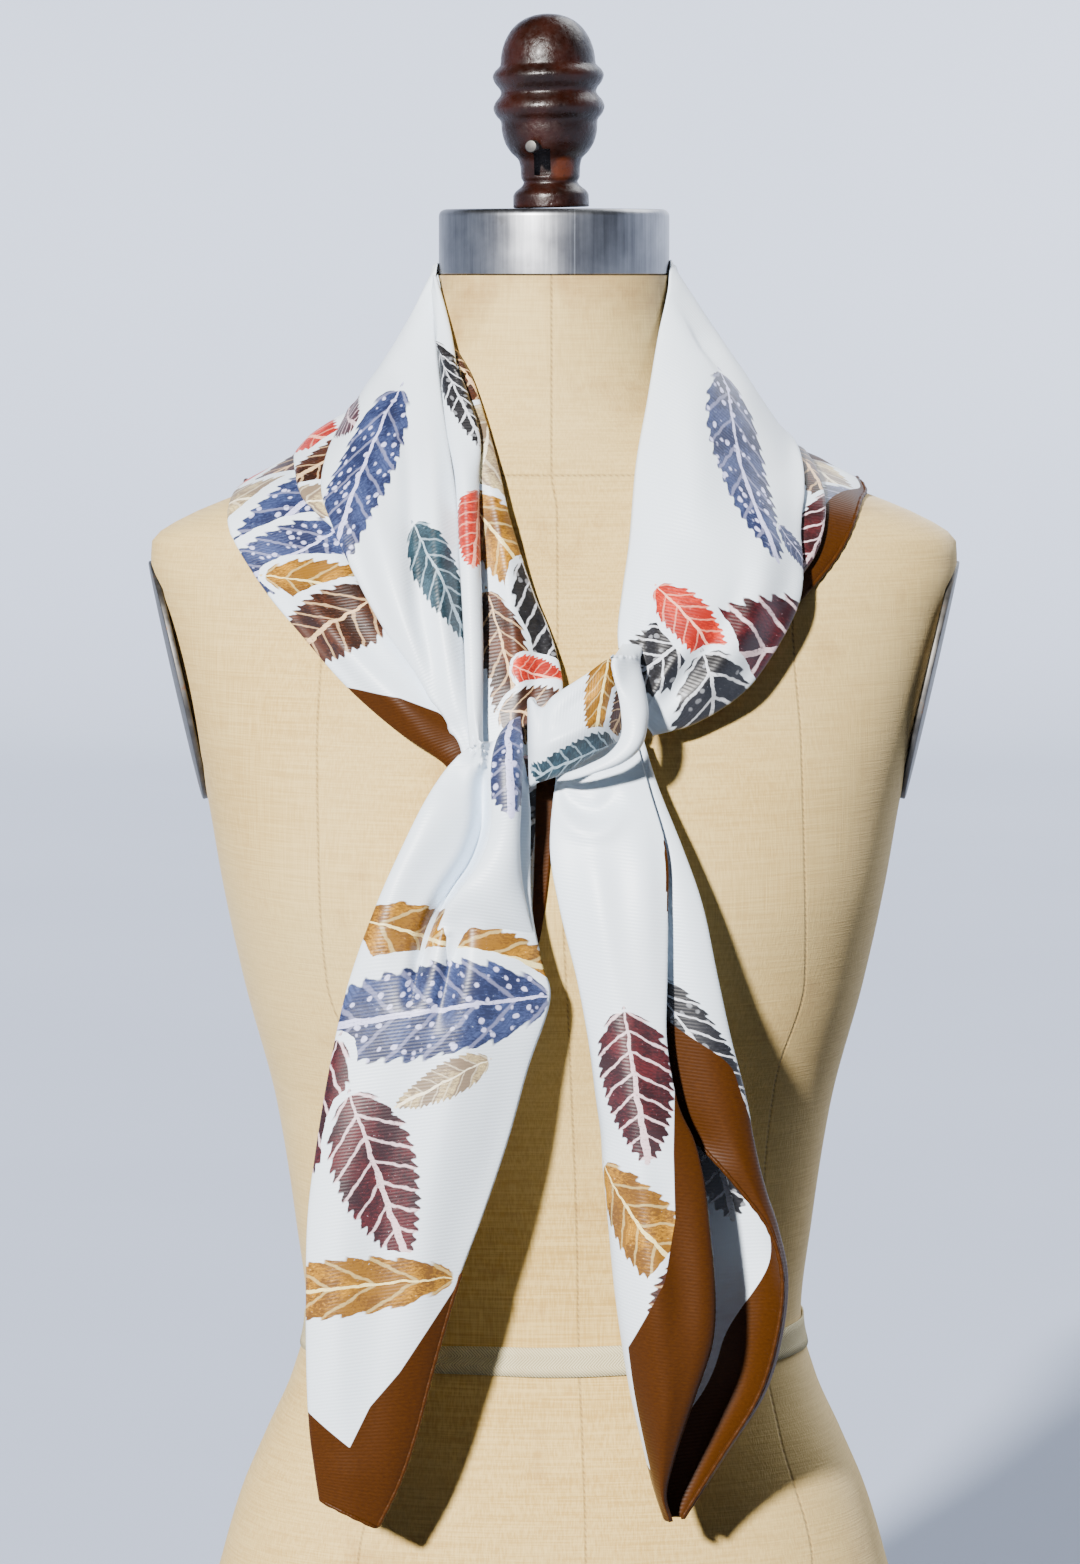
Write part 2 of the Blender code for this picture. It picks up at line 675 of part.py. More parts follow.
def build_back(below, group, material):
    """The folded triangle over the shoulder blades, with soft swags across it."""
    across, down = 25, 12
    lines = [through_rows(line, down) for line in BACK_LINES]
    grid = []
    for i, share in enumerate(np.linspace(0.0, 1.0, down)):
        points = through_rows([line[i] for line in lines], across)
        swag = sum(high * math.exp(-((share - place) / width) ** 2)
                   for place, high, width in BACK_SWAGS)
        row = []
        for j, point in enumerate(points):
            spot = Vector(point) * MM
            sides = math.sin(math.pi * j / (across - 1)) ** 0.7
            row.append(spot + outward(spot) * swag * sides * MM)
        grid.append(row)
    grid = settle(grid, [CLEAR * MM] * across, below)
    cloth = sheet_object("collar_back", grid, material, group)
    below.append(surface_tree(cloth))
    return cloth


def lily_section(row):
    """One level section of the right tail: the front's tucked edge, the front, the fold
    on the left, the back, the right side and the flap that turns forward from it."""
    height, fold, front_edge, right, hem, tuck, back_y, front_y = row
    depth = back_y - front_y
    small = min(1.0, (right - fold) / 40.0)
    fold_y = front_y + 0.5 * depth
    side_y = back_y - 0.4 * depth
    behind_front = front_y + 0.55 * depth
    hem_y = behind_front if hem < front_edge else side_y - 0.22 * depth * small
    corners = [
        (front_edge - tuck, front_y + 0.30 * depth),
        (front_edge - 0.3 * tuck, front_y + 0.26 * depth),
        (front_edge, front_y + 0.12 * depth),
        (front_edge - 0.2 * (front_edge - fold), front_y + 0.02 * depth),
        (0.5 * (fold + front_edge), front_y),
        (fold + 0.12 * (front_edge - fold), front_y + 0.22 * depth),
        (fold, fold_y),
        (fold + 0.12 * (front_edge - fold), back_y - 0.14 * depth),
        (0.5 * (fold + right), back_y),
        (right - 0.14 * (right - fold), back_y - 0.08 * depth),
        (right, side_y),
        (right - 0.35 * (right - hem), side_y - 0.2 * depth * small),
        (hem, hem_y),
    ]
    return [(x, y, height) for x, y in corners]


def build_tail_right(below, group, material):
    stations, points = 20, 30
    grid = []
    for row in through_rows(TAIL_RIGHT, stations):
        section = through_rows(lily_section(row), points)
        grid.append([Vector(p) * MM for p in section])
    cloth = sheet_object("tail_right", grid, material, group)
    below.append(surface_tree(cloth))
    return cloth


def build():
    clear_scene()
    group = make_collection("silk_scarf_on_dress_form")
    cutters = make_collection("cutters")
    linen = make_material("linen", (0.68, 0.55, 0.36), 0.9)
    tape = make_material("twill_tape", (0.62, 0.60, 0.46), 0.9)
    aluminium = make_material("brushed_aluminium", (0.60, 0.62, 0.65), 0.35, 1.0)
    steel = make_material("steel_plate", (0.40, 0.39, 0.38), 0.45, 1.0)
    lacquer = make_material("lacquered_iron", (0.065, 0.018, 0.010), 0.3)
    silk = make_material("silk_twill", (0.82, 0.85, 0.86), 0.45)
    border = make_material("silk_border", (0.22, 0.075, 0.022), 0.5)

    torso = build_torso(group, cutters, linen)
    build_tape(group, tape)
    on_neck = Matrix.Translation(Vector((0.0, NECK_CENTRE_Y, NECK_TOP)) * MM)
    band = build_turned("neck_band", band_profile(), on_neck, group, aluminium, 48)
    build_finial(group, cutters, lacquer)
    build_pin(group, steel)
    build_arm_plate(-1, "arm_plate_left", group, steel)
    build_arm_plate(1, "arm_plate_right", group, steel)

    below = [surface_tree(torso), surface_tree(band)]
    build_back(below, group, silk)
    stretch("collar_left_inner", LEFT_INNER, below, group, silk, stations=12, across=5)
    stretch("collar_left_outer", LEFT_OUTER, below, group, silk, back_left=16, stations=11, across=7)
    stretch("collar_left_fold", LEFT_FOLD, below, group, silk, back_left=10, stations=6, across=6)
    stretch("collar_left_panel", LEFT_PANEL, below, group, silk, back_left=14, stations=12, across=9)
    stretch("collar_left_roll", LEFT_ROLL, below, group, silk, back_right=4, stations=11, across=5)
    stretch("collar_right_outer", RIGHT_OUTER, below, group, border, stations=7, across=6)
    stretch("collar_right_under", RIGHT_UNDER, below, group, silk, back_right=6, stations=7,
            across=5)
    stretch("collar_right_panel", RIGHT_PANEL, below, group, silk, back_right=18, stations=13,
            across=10)
    stretch("tail_left", TAIL_LEFT, below, group, silk, back_left=34, stations=18, across=10)
    build_tail_right(below, group, silk)
    stretch("knot_lobe", KNOT_LOBE, below, group, silk, back_left=4, stations=6, across=5)
    stretch("knot_wrap", KNOT_WRAP, below, group, silk, back_left=8, back_right=8, stations=8,
            across=7)
    stretch("knot_roll", KNOT_ROLL, below, group, silk, back_left=4, back_right=4, stations=12,
            across=5, room=1.9)


build()
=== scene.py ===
# %% [markdown]
# # A silk square knotted on a dress form
# The real thing is one 90 cm square of printed silk twill with a hand-rolled hem. It is folded
# on its diagonal, laid round the neck of a linen-covered dress form and knotted in front, so
# its two ends hang down as tails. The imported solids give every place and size, and this lesson
# dresses them: thin creased cloth over the cloth solids, and linen, metal and paint on the form.

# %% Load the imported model
import math

import bmesh
import bpy
import numpy as np
from mathutils import Matrix, Vector, noise
from mathutils.bvhtree import BVHTree


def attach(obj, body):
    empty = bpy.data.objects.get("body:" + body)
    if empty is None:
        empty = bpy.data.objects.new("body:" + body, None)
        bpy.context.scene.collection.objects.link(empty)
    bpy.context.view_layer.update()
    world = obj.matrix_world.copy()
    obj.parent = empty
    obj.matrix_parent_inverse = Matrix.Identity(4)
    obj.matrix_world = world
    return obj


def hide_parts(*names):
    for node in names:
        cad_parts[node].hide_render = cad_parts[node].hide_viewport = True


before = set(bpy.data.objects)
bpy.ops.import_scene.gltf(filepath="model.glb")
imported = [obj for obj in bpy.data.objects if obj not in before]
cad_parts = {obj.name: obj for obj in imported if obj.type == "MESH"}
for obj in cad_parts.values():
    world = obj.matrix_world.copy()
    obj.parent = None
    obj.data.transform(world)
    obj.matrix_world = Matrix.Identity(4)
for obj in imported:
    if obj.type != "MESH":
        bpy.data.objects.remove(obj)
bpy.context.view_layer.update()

MM = 0.001
print("solids:", sorted(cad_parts))

# %% [markdown]
# ## The stage and the light
# A plain studio: one pale seamless bowl that is floor and wall at once, so no corner shows from
# any side. One hard lamp stands in front on the left and throws the dark shadow of each tail
# on the linen. A broad soft lamp behind lights the far side, and a weak sky fills the rest.

# %% Camera
EYE = Vector((-6.0, -2400.0, 700.0)) * MM
AIM = Vector((-6.0, 0.0, 479.0)) * MM
SEEN_HEIGHT = 0.6725              # metres that the frame takes in at the aim point
SENSOR = 36.0

camera = bpy.data.objects.new("camera", bpy.data.cameras.new("camera"))
bpy.context.scene.collection.objects.link(camera)
camera.location = EYE
camera.rotation_euler = (AIM - EYE).to_track_quat("-Z", "Y").to_euler()
camera.data.sensor_fit = "VERTICAL"
camera.data.sensor_height = SENSOR
camera.data.lens = SENSOR * (AIM - EYE).length / SEEN_HEIGHT
bpy.context.scene.camera = camera
print("lens", round(camera.data.lens, 1), "mm")


# %% Bowl of the studio
def add_mesh(name, points, faces):
    """A new smooth piece from its points in metres and its faces."""
    mesh = bpy.data.meshes.new(name)
    mesh.from_pydata([tuple(p) for p in points], [], faces)
    mesh.update()
    mesh.shade_smooth()
    piece = bpy.data.objects.new(name, mesh)
    bpy.context.scene.collection.objects.link(piece)
    return piece


def ring_faces(rings, around, capped=False):
    """Faces between rings of points, the lowest ring first."""
    faces = [(i * around + k, i * around + (k + 1) % around,
              (i + 1) * around + (k + 1) % around, (i + 1) * around + k)
             for i in range(rings - 1) for k in range(around)]
    if capped:
        faces += [tuple(range(around))[::-1], tuple((rings - 1) * around + k for k in range(around))]
    return faces


def turned(name, profile, around):
    """A shape of revolution about Z from rows of radius and height in metres, from its base."""
    sides = np.linspace(0.0, 2 * math.pi, around, endpoint=False)
    points = [(r * math.cos(a), r * math.sin(a), z) for r, z in profile for a in sides]
    return add_mesh(name, points, ring_faces(len(profile), around))


FLOOR_RADIUS, BEND_RADIUS, WALL_HEIGHT = 5.5, 1.5, 5.0
FLOOR_DROP = 0.0006               # the floor stays just under the foot of the form
BEND_STEPS = 8
rim = [(0.001, 0.0), (1.0, 0.0), (3.0, 0.0)]
for k in range(BEND_STEPS, -1, -1):
    angle = math.pi / 2 * k / BEND_STEPS
    rim.append((FLOOR_RADIUS + BEND_RADIUS * math.cos(angle), BEND_RADIUS * (1 - math.sin(angle))))
rim.append((FLOOR_RADIUS + BEND_RADIUS, WALL_HEIGHT))
bowl = turned("studio_bowl", rim, 96)
bowl.location.z = -FLOOR_DROP
bowl.visible_diffuse = False
bowl.visible_shadow = False
print("bowl radius", FLOOR_RADIUS + BEND_RADIUS)

# %% [markdown]
# ## Colours and nodes
# Every finish is built from nodes. Colours are written as a painter's hex value and turned to
# linear light once, and one small function adds a node with its settings and its links.

# %% Helpers for materials
def linear(code):
    """A hex colour as linear red, green, blue and alpha."""
    values = [int(code[i:i + 2], 16) / 255 for i in (1, 3, 5)]
    return [v / 12.92 if v <= 0.04045 else ((v + 0.055) / 1.055) ** 2.4 for v in values] + [1.0]


def connect(material, made, inputs):
    """Fills inputs of a node, each from a node, a (node, output), a hex colour or a plain value."""
    for key, value in inputs.items():
        if isinstance(value, bpy.types.Node):
            value = (value, 0)
        if isinstance(value, tuple) and isinstance(value[0], bpy.types.Node):
            material.node_tree.links.new(value[0].outputs[value[1]], made.inputs[key])
        else:
            made.inputs[key].default_value = linear(value) if isinstance(value, str) else value


def node(material, kind, inputs, steps=(), **settings):
    """A new node with its inputs, its own settings and the even steps of a colour ramp."""
    made = material.node_tree.nodes.new("ShaderNode" + kind)
    for key, value in settings.items():
        setattr(made, key, value)
    if steps:
        ramp = made.color_ramp
        ramp.interpolation = "CONSTANT"
        while len(ramp.elements) < len(steps):
            ramp.elements.new(0.5)
        for k, (stop, colour) in enumerate(zip(ramp.elements, steps)):
            stop.position = k / len(steps)
            stop.color = linear(colour) if isinstance(colour, str) else colour
    connect(material, made, inputs)
    return made


def over(material, under, colour, pattern, low=0.0, high=1.0, most=1.0):
    """Lays a colour over another: none where a pattern reads low, most of it where it reads high."""
    share = node(material, "MapRange", {"Value": pattern, "From Min": low, "From Max": high,
                                        "To Max": most})
    return node(material, "Mix", {0: share, 6: under, 7: colour}, data_type="RGBA"), 2


def streaks(material, place, per_metre, detail, roughness=0.5):
    """Noise drawn out along an axis, from how many grains a metre holds along x, y and z."""
    drawn_out = node(material, "Mapping", {"Vector": place, "Scale": per_metre})
    return node(material, "TexNoise", {"Vector": drawn_out, "Scale": 1.0, "Detail": detail,
                                       "Roughness": roughness})


def waves(material, along, rate):
    """A sine wave along a value."""
    phase = node(material, "Math", {0: along, 1: rate}, operation="MULTIPLY")
    return node(material, "Math", {0: phase}, operation="SINE")


def new_material(name, layout=None):
    """A new material, its shader and its coordinates in metres: those of the object, or those
    of the piece's flat layout of that name."""
    material = bpy.data.materials.new(name)
    material.use_nodes = True
    shader = material.node_tree.nodes["Principled BSDF"]
    if layout:
        return material, shader, (node(material, "UVMap", {}, uv_map=layout), 0)
    return material, shader, (node(material, "TexCoord", {}), 3)


# matt wall paint, rolled on: a faint mottle and a fine orange-peel skin
backdrop, shader, place = new_material("painted_studio_wall")
mottle = node(backdrop, "TexNoise", {"Vector": place, "Scale": 1.2, "Detail": 4.0})
skin = node(backdrop, "TexNoise", {"Vector": place, "Scale": 260.0, "Detail": 2.0})
connect(backdrop, shader, {
    "Base Color": over(backdrop, "#a6b2cc", "#b2bed8", mottle),
    "Normal": node(backdrop, "Bump", {"Height": skin, "Strength": 0.1, "Distance": 0.001}),
    "Roughness": 0.9,
})
bowl.data.materials.append(backdrop)
print("wall nodes:", len(backdrop.node_tree.nodes))

# %% Lights
world = bpy.data.worlds.new("studio_sky")
bpy.context.scene.world = world
world.use_nodes = True
connect(world, world.node_tree.nodes["Background"], {"Color": "#dfe6f0", "Strength": 0.06})


CHEST = Vector((0.0, -0.1, 0.45))
LAMP_DISTANCE = 3.0


def lamp(name, azimuth, elevation, energy, softness, colour):
    """A far lamp aimed at the chest from an azimuth (0 = from the front, positive = from the
    left) and an elevation, all in degrees; softness is how wide it looks from the chest."""
    light = bpy.data.objects.new(name, bpy.data.lights.new(name, "SUN"))
    bpy.context.scene.collection.objects.link(light)
    a, e = math.radians(azimuth), math.radians(elevation)
    away = Vector((-math.sin(a) * math.cos(e), -math.cos(a) * math.cos(e), math.sin(e)))
    light.location = CHEST + away * LAMP_DISTANCE
    light.rotation_euler = (-away).to_track_quat("-Z", "Y").to_euler()
    light.data.energy = energy
    light.data.angle = math.radians(softness)
    light.data.color = colour


lamp("key_lamp", 24.0, 22.0, 13.0, 4.0, (1.0, 0.965, 0.92))
lamp("back_lamp", 222.0, 34.0, 4.0, 50.0, (0.96, 0.98, 1.0))
print("lamps ready")

# %% [markdown]
# ## The dress form
# The body is papier-mache under a linen cover: a lofted shape with rounded sections, cut flat
# where each arm would start.

# %% Sizes of the form
# in millimetres and degrees
FORM_ROUNDNESS = 2.3
OVAL_FROM, OVAL_BY = 600.0, 60.0  # from this height, and over this height
NECK_TOP = 696.0
NECK_CENTRE_Y = 3.0
BAND_RADIUS = 49.2
BAND_HEIGHT = 28.0
BAND_EDGE = 3.0
ARM_PLATE_TOP = (171.5, 576.0)
ARM_PLATE_LEAN = 12.5
ARM_PLATE_TURN = 6.0
ARM_PLATE_HALF = (54.0, 41.0)
ARM_CENTRE_Y = 2.0

# Sections from the bottom up: height, half width, front, back.
TORSO = [
    (0.0, 148, 96, 112),
    (55.0, 155, 103, 119),
    (105.0, 153, 103, 119),
    (143.0, 144, 99, 111),
    (170.0, 136, 95, 103),
    (196.0, 125, 90, 93),
    (222.0, 113.5, 85.5, 84),
    (249.0, 107, 83, 78),
    (290.0, 111.5, 87, 76),
    (342.0, 119.5, 97, 80),
    (394.0, 133, 114, 88),
    (436.0, 142, 122, 95),
    (476.0, 149, 116, 100),
    (515.0, 158, 103, 102),
    (550.0, 167, 88, 101),
    (573.0, 172.5, 77, 98),
    (583.0, 172, 72, 94),
    (591.0, 162, 69, 91),
    (600.0, 142, 67, 87),
    (610.0, 116, 64, 82),
    (620.0, 93, 61, 77),
    (630.0, 73, 57, 71),
    (640.0, 60, 53, 66),
    (655.0, 53, 50, 60),
    (675.0, 49.5, 48, 55),
    (NECK_TOP, 48.8, 46.3, 52),
]


def rows_at(rows, value):
    """A table's row at a value of its rising first column, along smooth monotone curves."""
    rows = np.asarray(rows, float)
    xs = rows[:, 0]
    slopes = np.diff(rows, axis=0) / np.diff(xs)[:, None]
    i = int(np.clip(np.searchsorted(xs, value) - 1, 0, len(xs) - 2))

    def tangent(k):
        if k == 0 or k == len(xs) - 1:
            return slopes[min(k, len(slopes) - 1)]
        a, b = slopes[k - 1], slopes[k]
        mean = 2 * a * b / np.where(np.abs(a + b) < 1e-9, 1.0, a + b)
        return np.where(a * b > 0, mean, 0.0)

    step = xs[i + 1] - xs[i]
    f = (value - xs[i]) / step
    return ((2 * f ** 3 - 3 * f ** 2 + 1) * rows[i] + (f ** 3 - 2 * f ** 2 + f) * step * tangent(i)
            + (3 * f ** 2 - 2 * f ** 3) * rows[i + 1] + (f ** 3 - f ** 2) * step * tangent(i + 1))


def torso_ring(height, sides, outset=0.0):
    """Points round the torso at one height, in metres: a rounded box that is an oval by the neck."""
    _, half, front, back = rows_at(TORSO, height)
    blend = np.clip((height - OVAL_FROM) / OVAL_BY, 0.0, 1.0)
    power = 2.0 / (FORM_ROUNDNESS * (1 - blend) + 2.0 * blend)
    ring = []
    for k in range(sides):
        angle = 2 * math.pi * k / sides
        c, s = math.cos(angle), math.sin(angle)
        depth = back if s > 0 else front
        x = (half + outset) * math.copysign(abs(c) ** power, c)
        y = (depth + outset) * math.copysign(abs(s) ** power, s)
        ring.append((x * MM, y * MM, height * MM))
    return ring


# %% Loft the torso
FORM_SIDES = 144
FORM_STEP = 4.0                   # height of one row of faces
heights = []
for low, high in zip(TORSO, TORSO[1:]):
    count = max(2, round((high[0] - low[0]) / FORM_STEP))
    heights += list(np.linspace(low[0], high[0], count, endpoint=False))
heights.append(NECK_TOP)
points = [p for h in heights for p in torso_ring(h, FORM_SIDES)]
torso = add_mesh("linen_torso", points, ring_faces(len(heights), FORM_SIDES, capped=True))
print("torso rows:", len(heights))


# %% Cut the arm openings
def arm_plane(side):
    """Centre and outward normal of the flat cut where an arm would start."""
    x, z = ARM_PLATE_TOP
    lean, turn = math.radians(ARM_PLATE_LEAN), math.radians(ARM_PLATE_TURN)
    normal = Vector((side * math.cos(lean) * math.cos(turn), -math.sin(turn), -math.sin(lean)))
    normal.normalize()
    down = ARM_PLATE_HALF[0]
    centre = Vector((side * (x - down * math.sin(lean)), ARM_CENTRE_Y, z - down * math.cos(lean)))
    return centre * MM, normal


def facing(centre, normal):
    """A placement whose Z follows a normal and whose X points as far up as it can."""
    up = Vector((0.0, 0.0, 1.0))
    long_axis = (up - normal * up.dot(normal)).normalized()
    axes = Matrix((long_axis, normal.cross(long_axis), normal)).transposed()
    return Matrix.Translation(centre) @ axes.to_4x4()


def shift(x, y, z):
    """A placement by millimetres."""
    return Matrix.Translation(Vector((x, y, z)) * MM)


def oval_disc(name, half_size, thick, sides):
    """A disc of oval outline, its axis along its own Z."""
    bpy.ops.object.select_all(action="DESELECT")
    bpy.ops.mesh.primitive_cylinder_add(vertices=sides, radius=1.0, depth=1.0)
    disc = bpy.context.object
    disc.name = disc.data.name = name
    high, deep = half_size
    disc.data.transform(Matrix.Diagonal((high * MM, deep * MM, thick * MM, 1.0)))
    return disc


def apply_modifiers(piece):
    """Makes the modifiers of a piece part of its mesh."""
    bpy.ops.object.select_all(action="DESELECT")
    bpy.context.view_layer.objects.active = piece
    piece.select_set(True)
    for item in list(piece.modifiers):
        bpy.ops.object.modifier_apply(modifier=item.name)


def cut_away(piece, cutter):
    """Takes the shape of a cutter out of a piece, and the cutter away."""
    cut = piece.modifiers.new("cut", "BOOLEAN")
    cut.operation = "DIFFERENCE"
    cut.solver = "EXACT"
    cut.object = cutter
    apply_modifiers(piece)
    bpy.data.objects.remove(cutter)


def shade(piece, sharp):
    """Smooth shading, but for the edges sharper than an angle in degrees."""
    piece.data.shade_smooth()
    piece.data.set_sharp_from_angle(angle=math.radians(sharp))


CUTTER_DEPTH = 40.0
for side in (-1, 1):
    centre, normal = arm_plane(side)
    cutter = oval_disc("arm_cutter", ARM_PLATE_HALF, CUTTER_DEPTH, 96)
    cutter.data.transform(facing(centre + normal * CUTTER_DEPTH / 2 * MM, normal))
    cut_away(torso, cutter)
shade(torso, 35)
print("torso faces:", len(torso.data.polygons))

# %% [markdown]
# ## Linen cover
# The form is covered with natural linen, cut in long panels that meet in seams: one at the
# middle, one at each side of the chest and one at each flank, and a round one at the base of
# the neck. The distance to each seam is stored on the mesh, so the stitching follows the body.

# %% Where the seams run
# each row: height, middle seam, side-front seam (mm from the middle of the form)
SEAMS = [
    (0.0, 13.0, 108), (155.7, 13.3, 101), (206.6, 12.0, 88.6), (241.3, 10.5, 84), (304.1, 9.3, 84),
    (358.2, 7.2, 90), (403.5, 5.0, 104.5), (437.1, 3.5, 105.6), (501.4, 2.0, 105.3),
    (545.0, 1.4, 102.7), (597.3, 1.3, 101), (614.4, -1.1, 100), (640.0, -1.1, 100), (700.0, -1.1, 100),
]
NECK_SEAM = 613.0
SEAM_INSET = 5.0                  # how much nearer the middle the side-front seam runs
FLANK_SEAM_Y = 4.0
MIDDLE_HALF = 40.0                # within this width of the middle there is no flank seam
NO_SEAM = 99.0                    # a distance too great to show
values = []
for vert in torso.data.vertices:
    x, y, z = vert.co / MM
    _, middle, beside = rows_at(SEAMS, min(max(z, 0.0), SEAMS[-1][0] - 0.1))
    side_front = abs(x - middle) - (beside - SEAM_INSET) if z < NECK_SEAM else NO_SEAM
    flank = y - FLANK_SEAM_Y if abs(x) > MIDDLE_HALF else NO_SEAM
    values += [x - middle, side_front, flank]
seams = torso.data.attributes.new("seams", "FLOAT_VECTOR", "POINT")
seams.data.foreach_set("vector", values)
print("seam distances on", len(torso.data.vertices), "points")

# %% Linen
def finish_part(piece, material, replaced=None):
    """Finish and facts of a piece: its material and the solids that it stands for."""
    piece.data.materials.clear()
    piece.data.materials.append(material)
    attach(piece, "root")
    if replaced is not None:
        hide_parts(*replaced)
    print(piece.name, "faces:", len(piece.data.polygons))


# natural linen, woven plain and aged: matt, slubby, faded in places and stained in others
linen, shader, place = new_material("linen_cover")
# long noise upwards for the warp, level for the weft; real threads are 0.5 mm, drawn about
# 0.7 mm so that they show
THREADS, SLUBS = 1500.0, 40.0     # to the metre, across the threads and along them
warp = streaks(linen, place, (THREADS, THREADS, SLUBS), 2.0)
weft = streaks(linen, place, (SLUBS, SLUBS, THREADS), 2.0)
weave = node(linen, "Math", {0: warp, 1: weft}, operation="ADD")
cover = over(linen, "#b5934c", "#d0b26c", weave, 0.78, 1.22)
# broad fading of old cloth
fade = node(linen, "TexNoise", {"Vector": place, "Scale": 5.0, "Detail": 3.0})
cover = over(linen, cover, "#d6c18a", fade, 0.35, 0.65, 0.5)
# brown stains of age, more of them near the metal band
height = node(linen, "SeparateXYZ", {0: place})
near_top = node(linen, "MapRange", {"Value": (height, 2), "From Min": 0.630, "From Max": 0.700})
stain = node(linen, "TexNoise", {"Vector": place, "Scale": 22.0, "Detail": 8.0, "Roughness": 0.62})
stain = node(linen, "Math", {0: near_top, 1: 0.13, 2: stain}, operation="MULTIPLY_ADD")
cover = over(linen, cover, "#8a6232", stain, 0.58, 0.76, 0.55)
# seams: a narrow groove with a stitch every 2.5 mm
seam = node(linen, "Attribute", {}, attribute_name="seams")
seam = node(linen, "SeparateXYZ", {0: (seam, 1)})
ring = node(linen, "Math", {0: (height, 2), 1: -NECK_SEAM * MM}, operation="ADD")
ring = node(linen, "Math", {0: ring, 1: 1 / MM}, operation="MULTIPLY")
near = None
for distance in ((seam, 0), (seam, 1), (seam, 2), ring):
    distance = node(linen, "Math", {0: distance}, operation="ABSOLUTE")
    near = node(linen, "Math", {0: near, 1: distance}, operation="MINIMUM") if near else distance
groove = node(linen, "MapRange", {"Value": near, "From Min": 0.75, "From Max": 0.15})
along = node(linen, "VectorMath", {0: place, 1: (2500.0, 0.0, 2500.0)}, operation="DOT_PRODUCT")
along = node(linen, "Math", {0: (along, 1)}, operation="SINE")
stitch = node(linen, "MapRange", {"Value": along, "From Min": -0.2, "From Max": 0.4,
                                  "To Min": 0.45})
mark = node(linen, "Math", {0: groove, 1: stitch}, operation="MULTIPLY")
cover = over(linen, cover, "#5a3f20", mark, most=0.55)
relief = node(linen, "Math", {0: groove, 1: -1.6, 2: weave}, operation="MULTIPLY_ADD")
connect(linen, shader, {
    "Base Color": cover,
    "Normal": node(linen, "Bump", {"Height": relief, "Strength": 0.5, "Distance": 0.00025}),
    "Roughness": 0.85, "Sheen Weight": 0.15, "Sheen Roughness": 0.5,
})
finish_part(torso, linen, ["torso"])

# %% [markdown]
# ## Tape round the waist
# A cotton herringbone tape marks the waist. It is laid on by hand, so its edges waver a little,
# and it is glued flat. Its own layout carries the three rows of slanted threads.

# %% Waist tape
def thicken(piece, thick):
    """Gives a sheet its thickness in millimetres, half on each side."""
    wall = piece.modifiers.new("thickness", "SOLIDIFY")
    wall.thickness = thick * MM
    wall.offset = 0.0
    apply_modifiers(piece)


TAPE_LOW, TAPE_HIGH = 236.8, 248.8
TAPE_LIFT, TAPE_THICK = 0.35, 0.9
TAPE_ROWS = 5
TAPE_WIDE = (TAPE_HIGH - TAPE_LOW) * MM
count = FORM_SIDES * 2
grid = []
for share in np.linspace(0.0, 1.0, TAPE_ROWS):
    level = []
    for k in range(count):
        angle = 2 * math.pi * k / count
        sway = 0.35 * math.sin(5 * angle + 2 * share) + 0.25 * math.sin(13 * angle)
        height = TAPE_LOW + (TAPE_HIGH - TAPE_LOW) * share + sway
        proud = TAPE_LIFT + TAPE_THICK / 2 + 0.12 * math.sin(9 * angle + 1.0)
        level.append(torso_ring(height, count, proud)[k])
    grid.append(level)
grid = np.array(grid)
tape_piece = add_mesh("tape_round_waist", grid.reshape(-1, 3), ring_faces(TAPE_ROWS, count))
middle = grid[TAPE_ROWS // 2]
girth = np.linalg.norm(np.diff(np.vstack([middle, middle[:1]]), axis=0), axis=1)
reach = np.concatenate([[0.0], np.cumsum(girth)])
flat = tape_piece.data.uv_layers.new(name="cloth")
for face in tape_piece.data.polygons:
    i, k = divmod(face.index, count)
    corners = [(reach[k], i), (reach[k + 1], i), (reach[k + 1], i + 1), (reach[k], i + 1)]
    for loop, (u, v) in zip(face.loop_indices, corners):
        flat.data[loop].uv = (u, v * TAPE_WIDE / (TAPE_ROWS - 1))
thicken(tape_piece, TAPE_THICK)

# %% Herringbone
# woven cotton: three rows whose threads lean one way and then the other, dull with handling;
# real threads are 0.5 mm apart, drawn 1.3 mm apart so that they show
TAPE_ROW, TAPE_THREAD = 4.0, 1.3  # millimetres
tape, shader, place = new_material("herringbone_tape", "cloth")
spot = node(tape, "SeparateXYZ", {0: place})
lean = node(tape, "Math", {0: (spot, 1), 1: TAPE_ROW * MM}, operation="PINGPONG")
slant = node(tape, "Math", {0: (spot, 0), 1: lean}, operation="ADD")
threads = waves(tape, slant, 2 * math.pi / (TAPE_THREAD * MM))
fuzz = node(tape, "TexNoise", {"Vector": place, "Scale": 900.0, "Detail": 3.0})
relief = node(tape, "Math", {0: fuzz, 1: 0.8, 2: threads}, operation="MULTIPLY_ADD")
tint = over(tape, "#9c916a", "#d2c9a6", relief, -0.8, 1.4)
aged = node(tape, "TexNoise", {"Vector": place, "Scale": 30.0, "Detail": 4.0})
connect(tape, shader, {
    "Base Color": over(tape, tint, "#a88f5c", aged, 0.45, 0.75, 0.4),
    "Normal": node(tape, "Bump", {"Height": relief, "Strength": 0.6, "Distance": 0.00015}),
    "Roughness": 0.85,
})
finish_part(tape_piece, tape, ["waist_tape"])

# %% [markdown]
# ## Neck band and arm plates
# The neck is capped with a drum of brushed aluminium, rolled from a strip, with its rim bent
# over and a faint join. The openings of the arms are closed with oval steel plates.

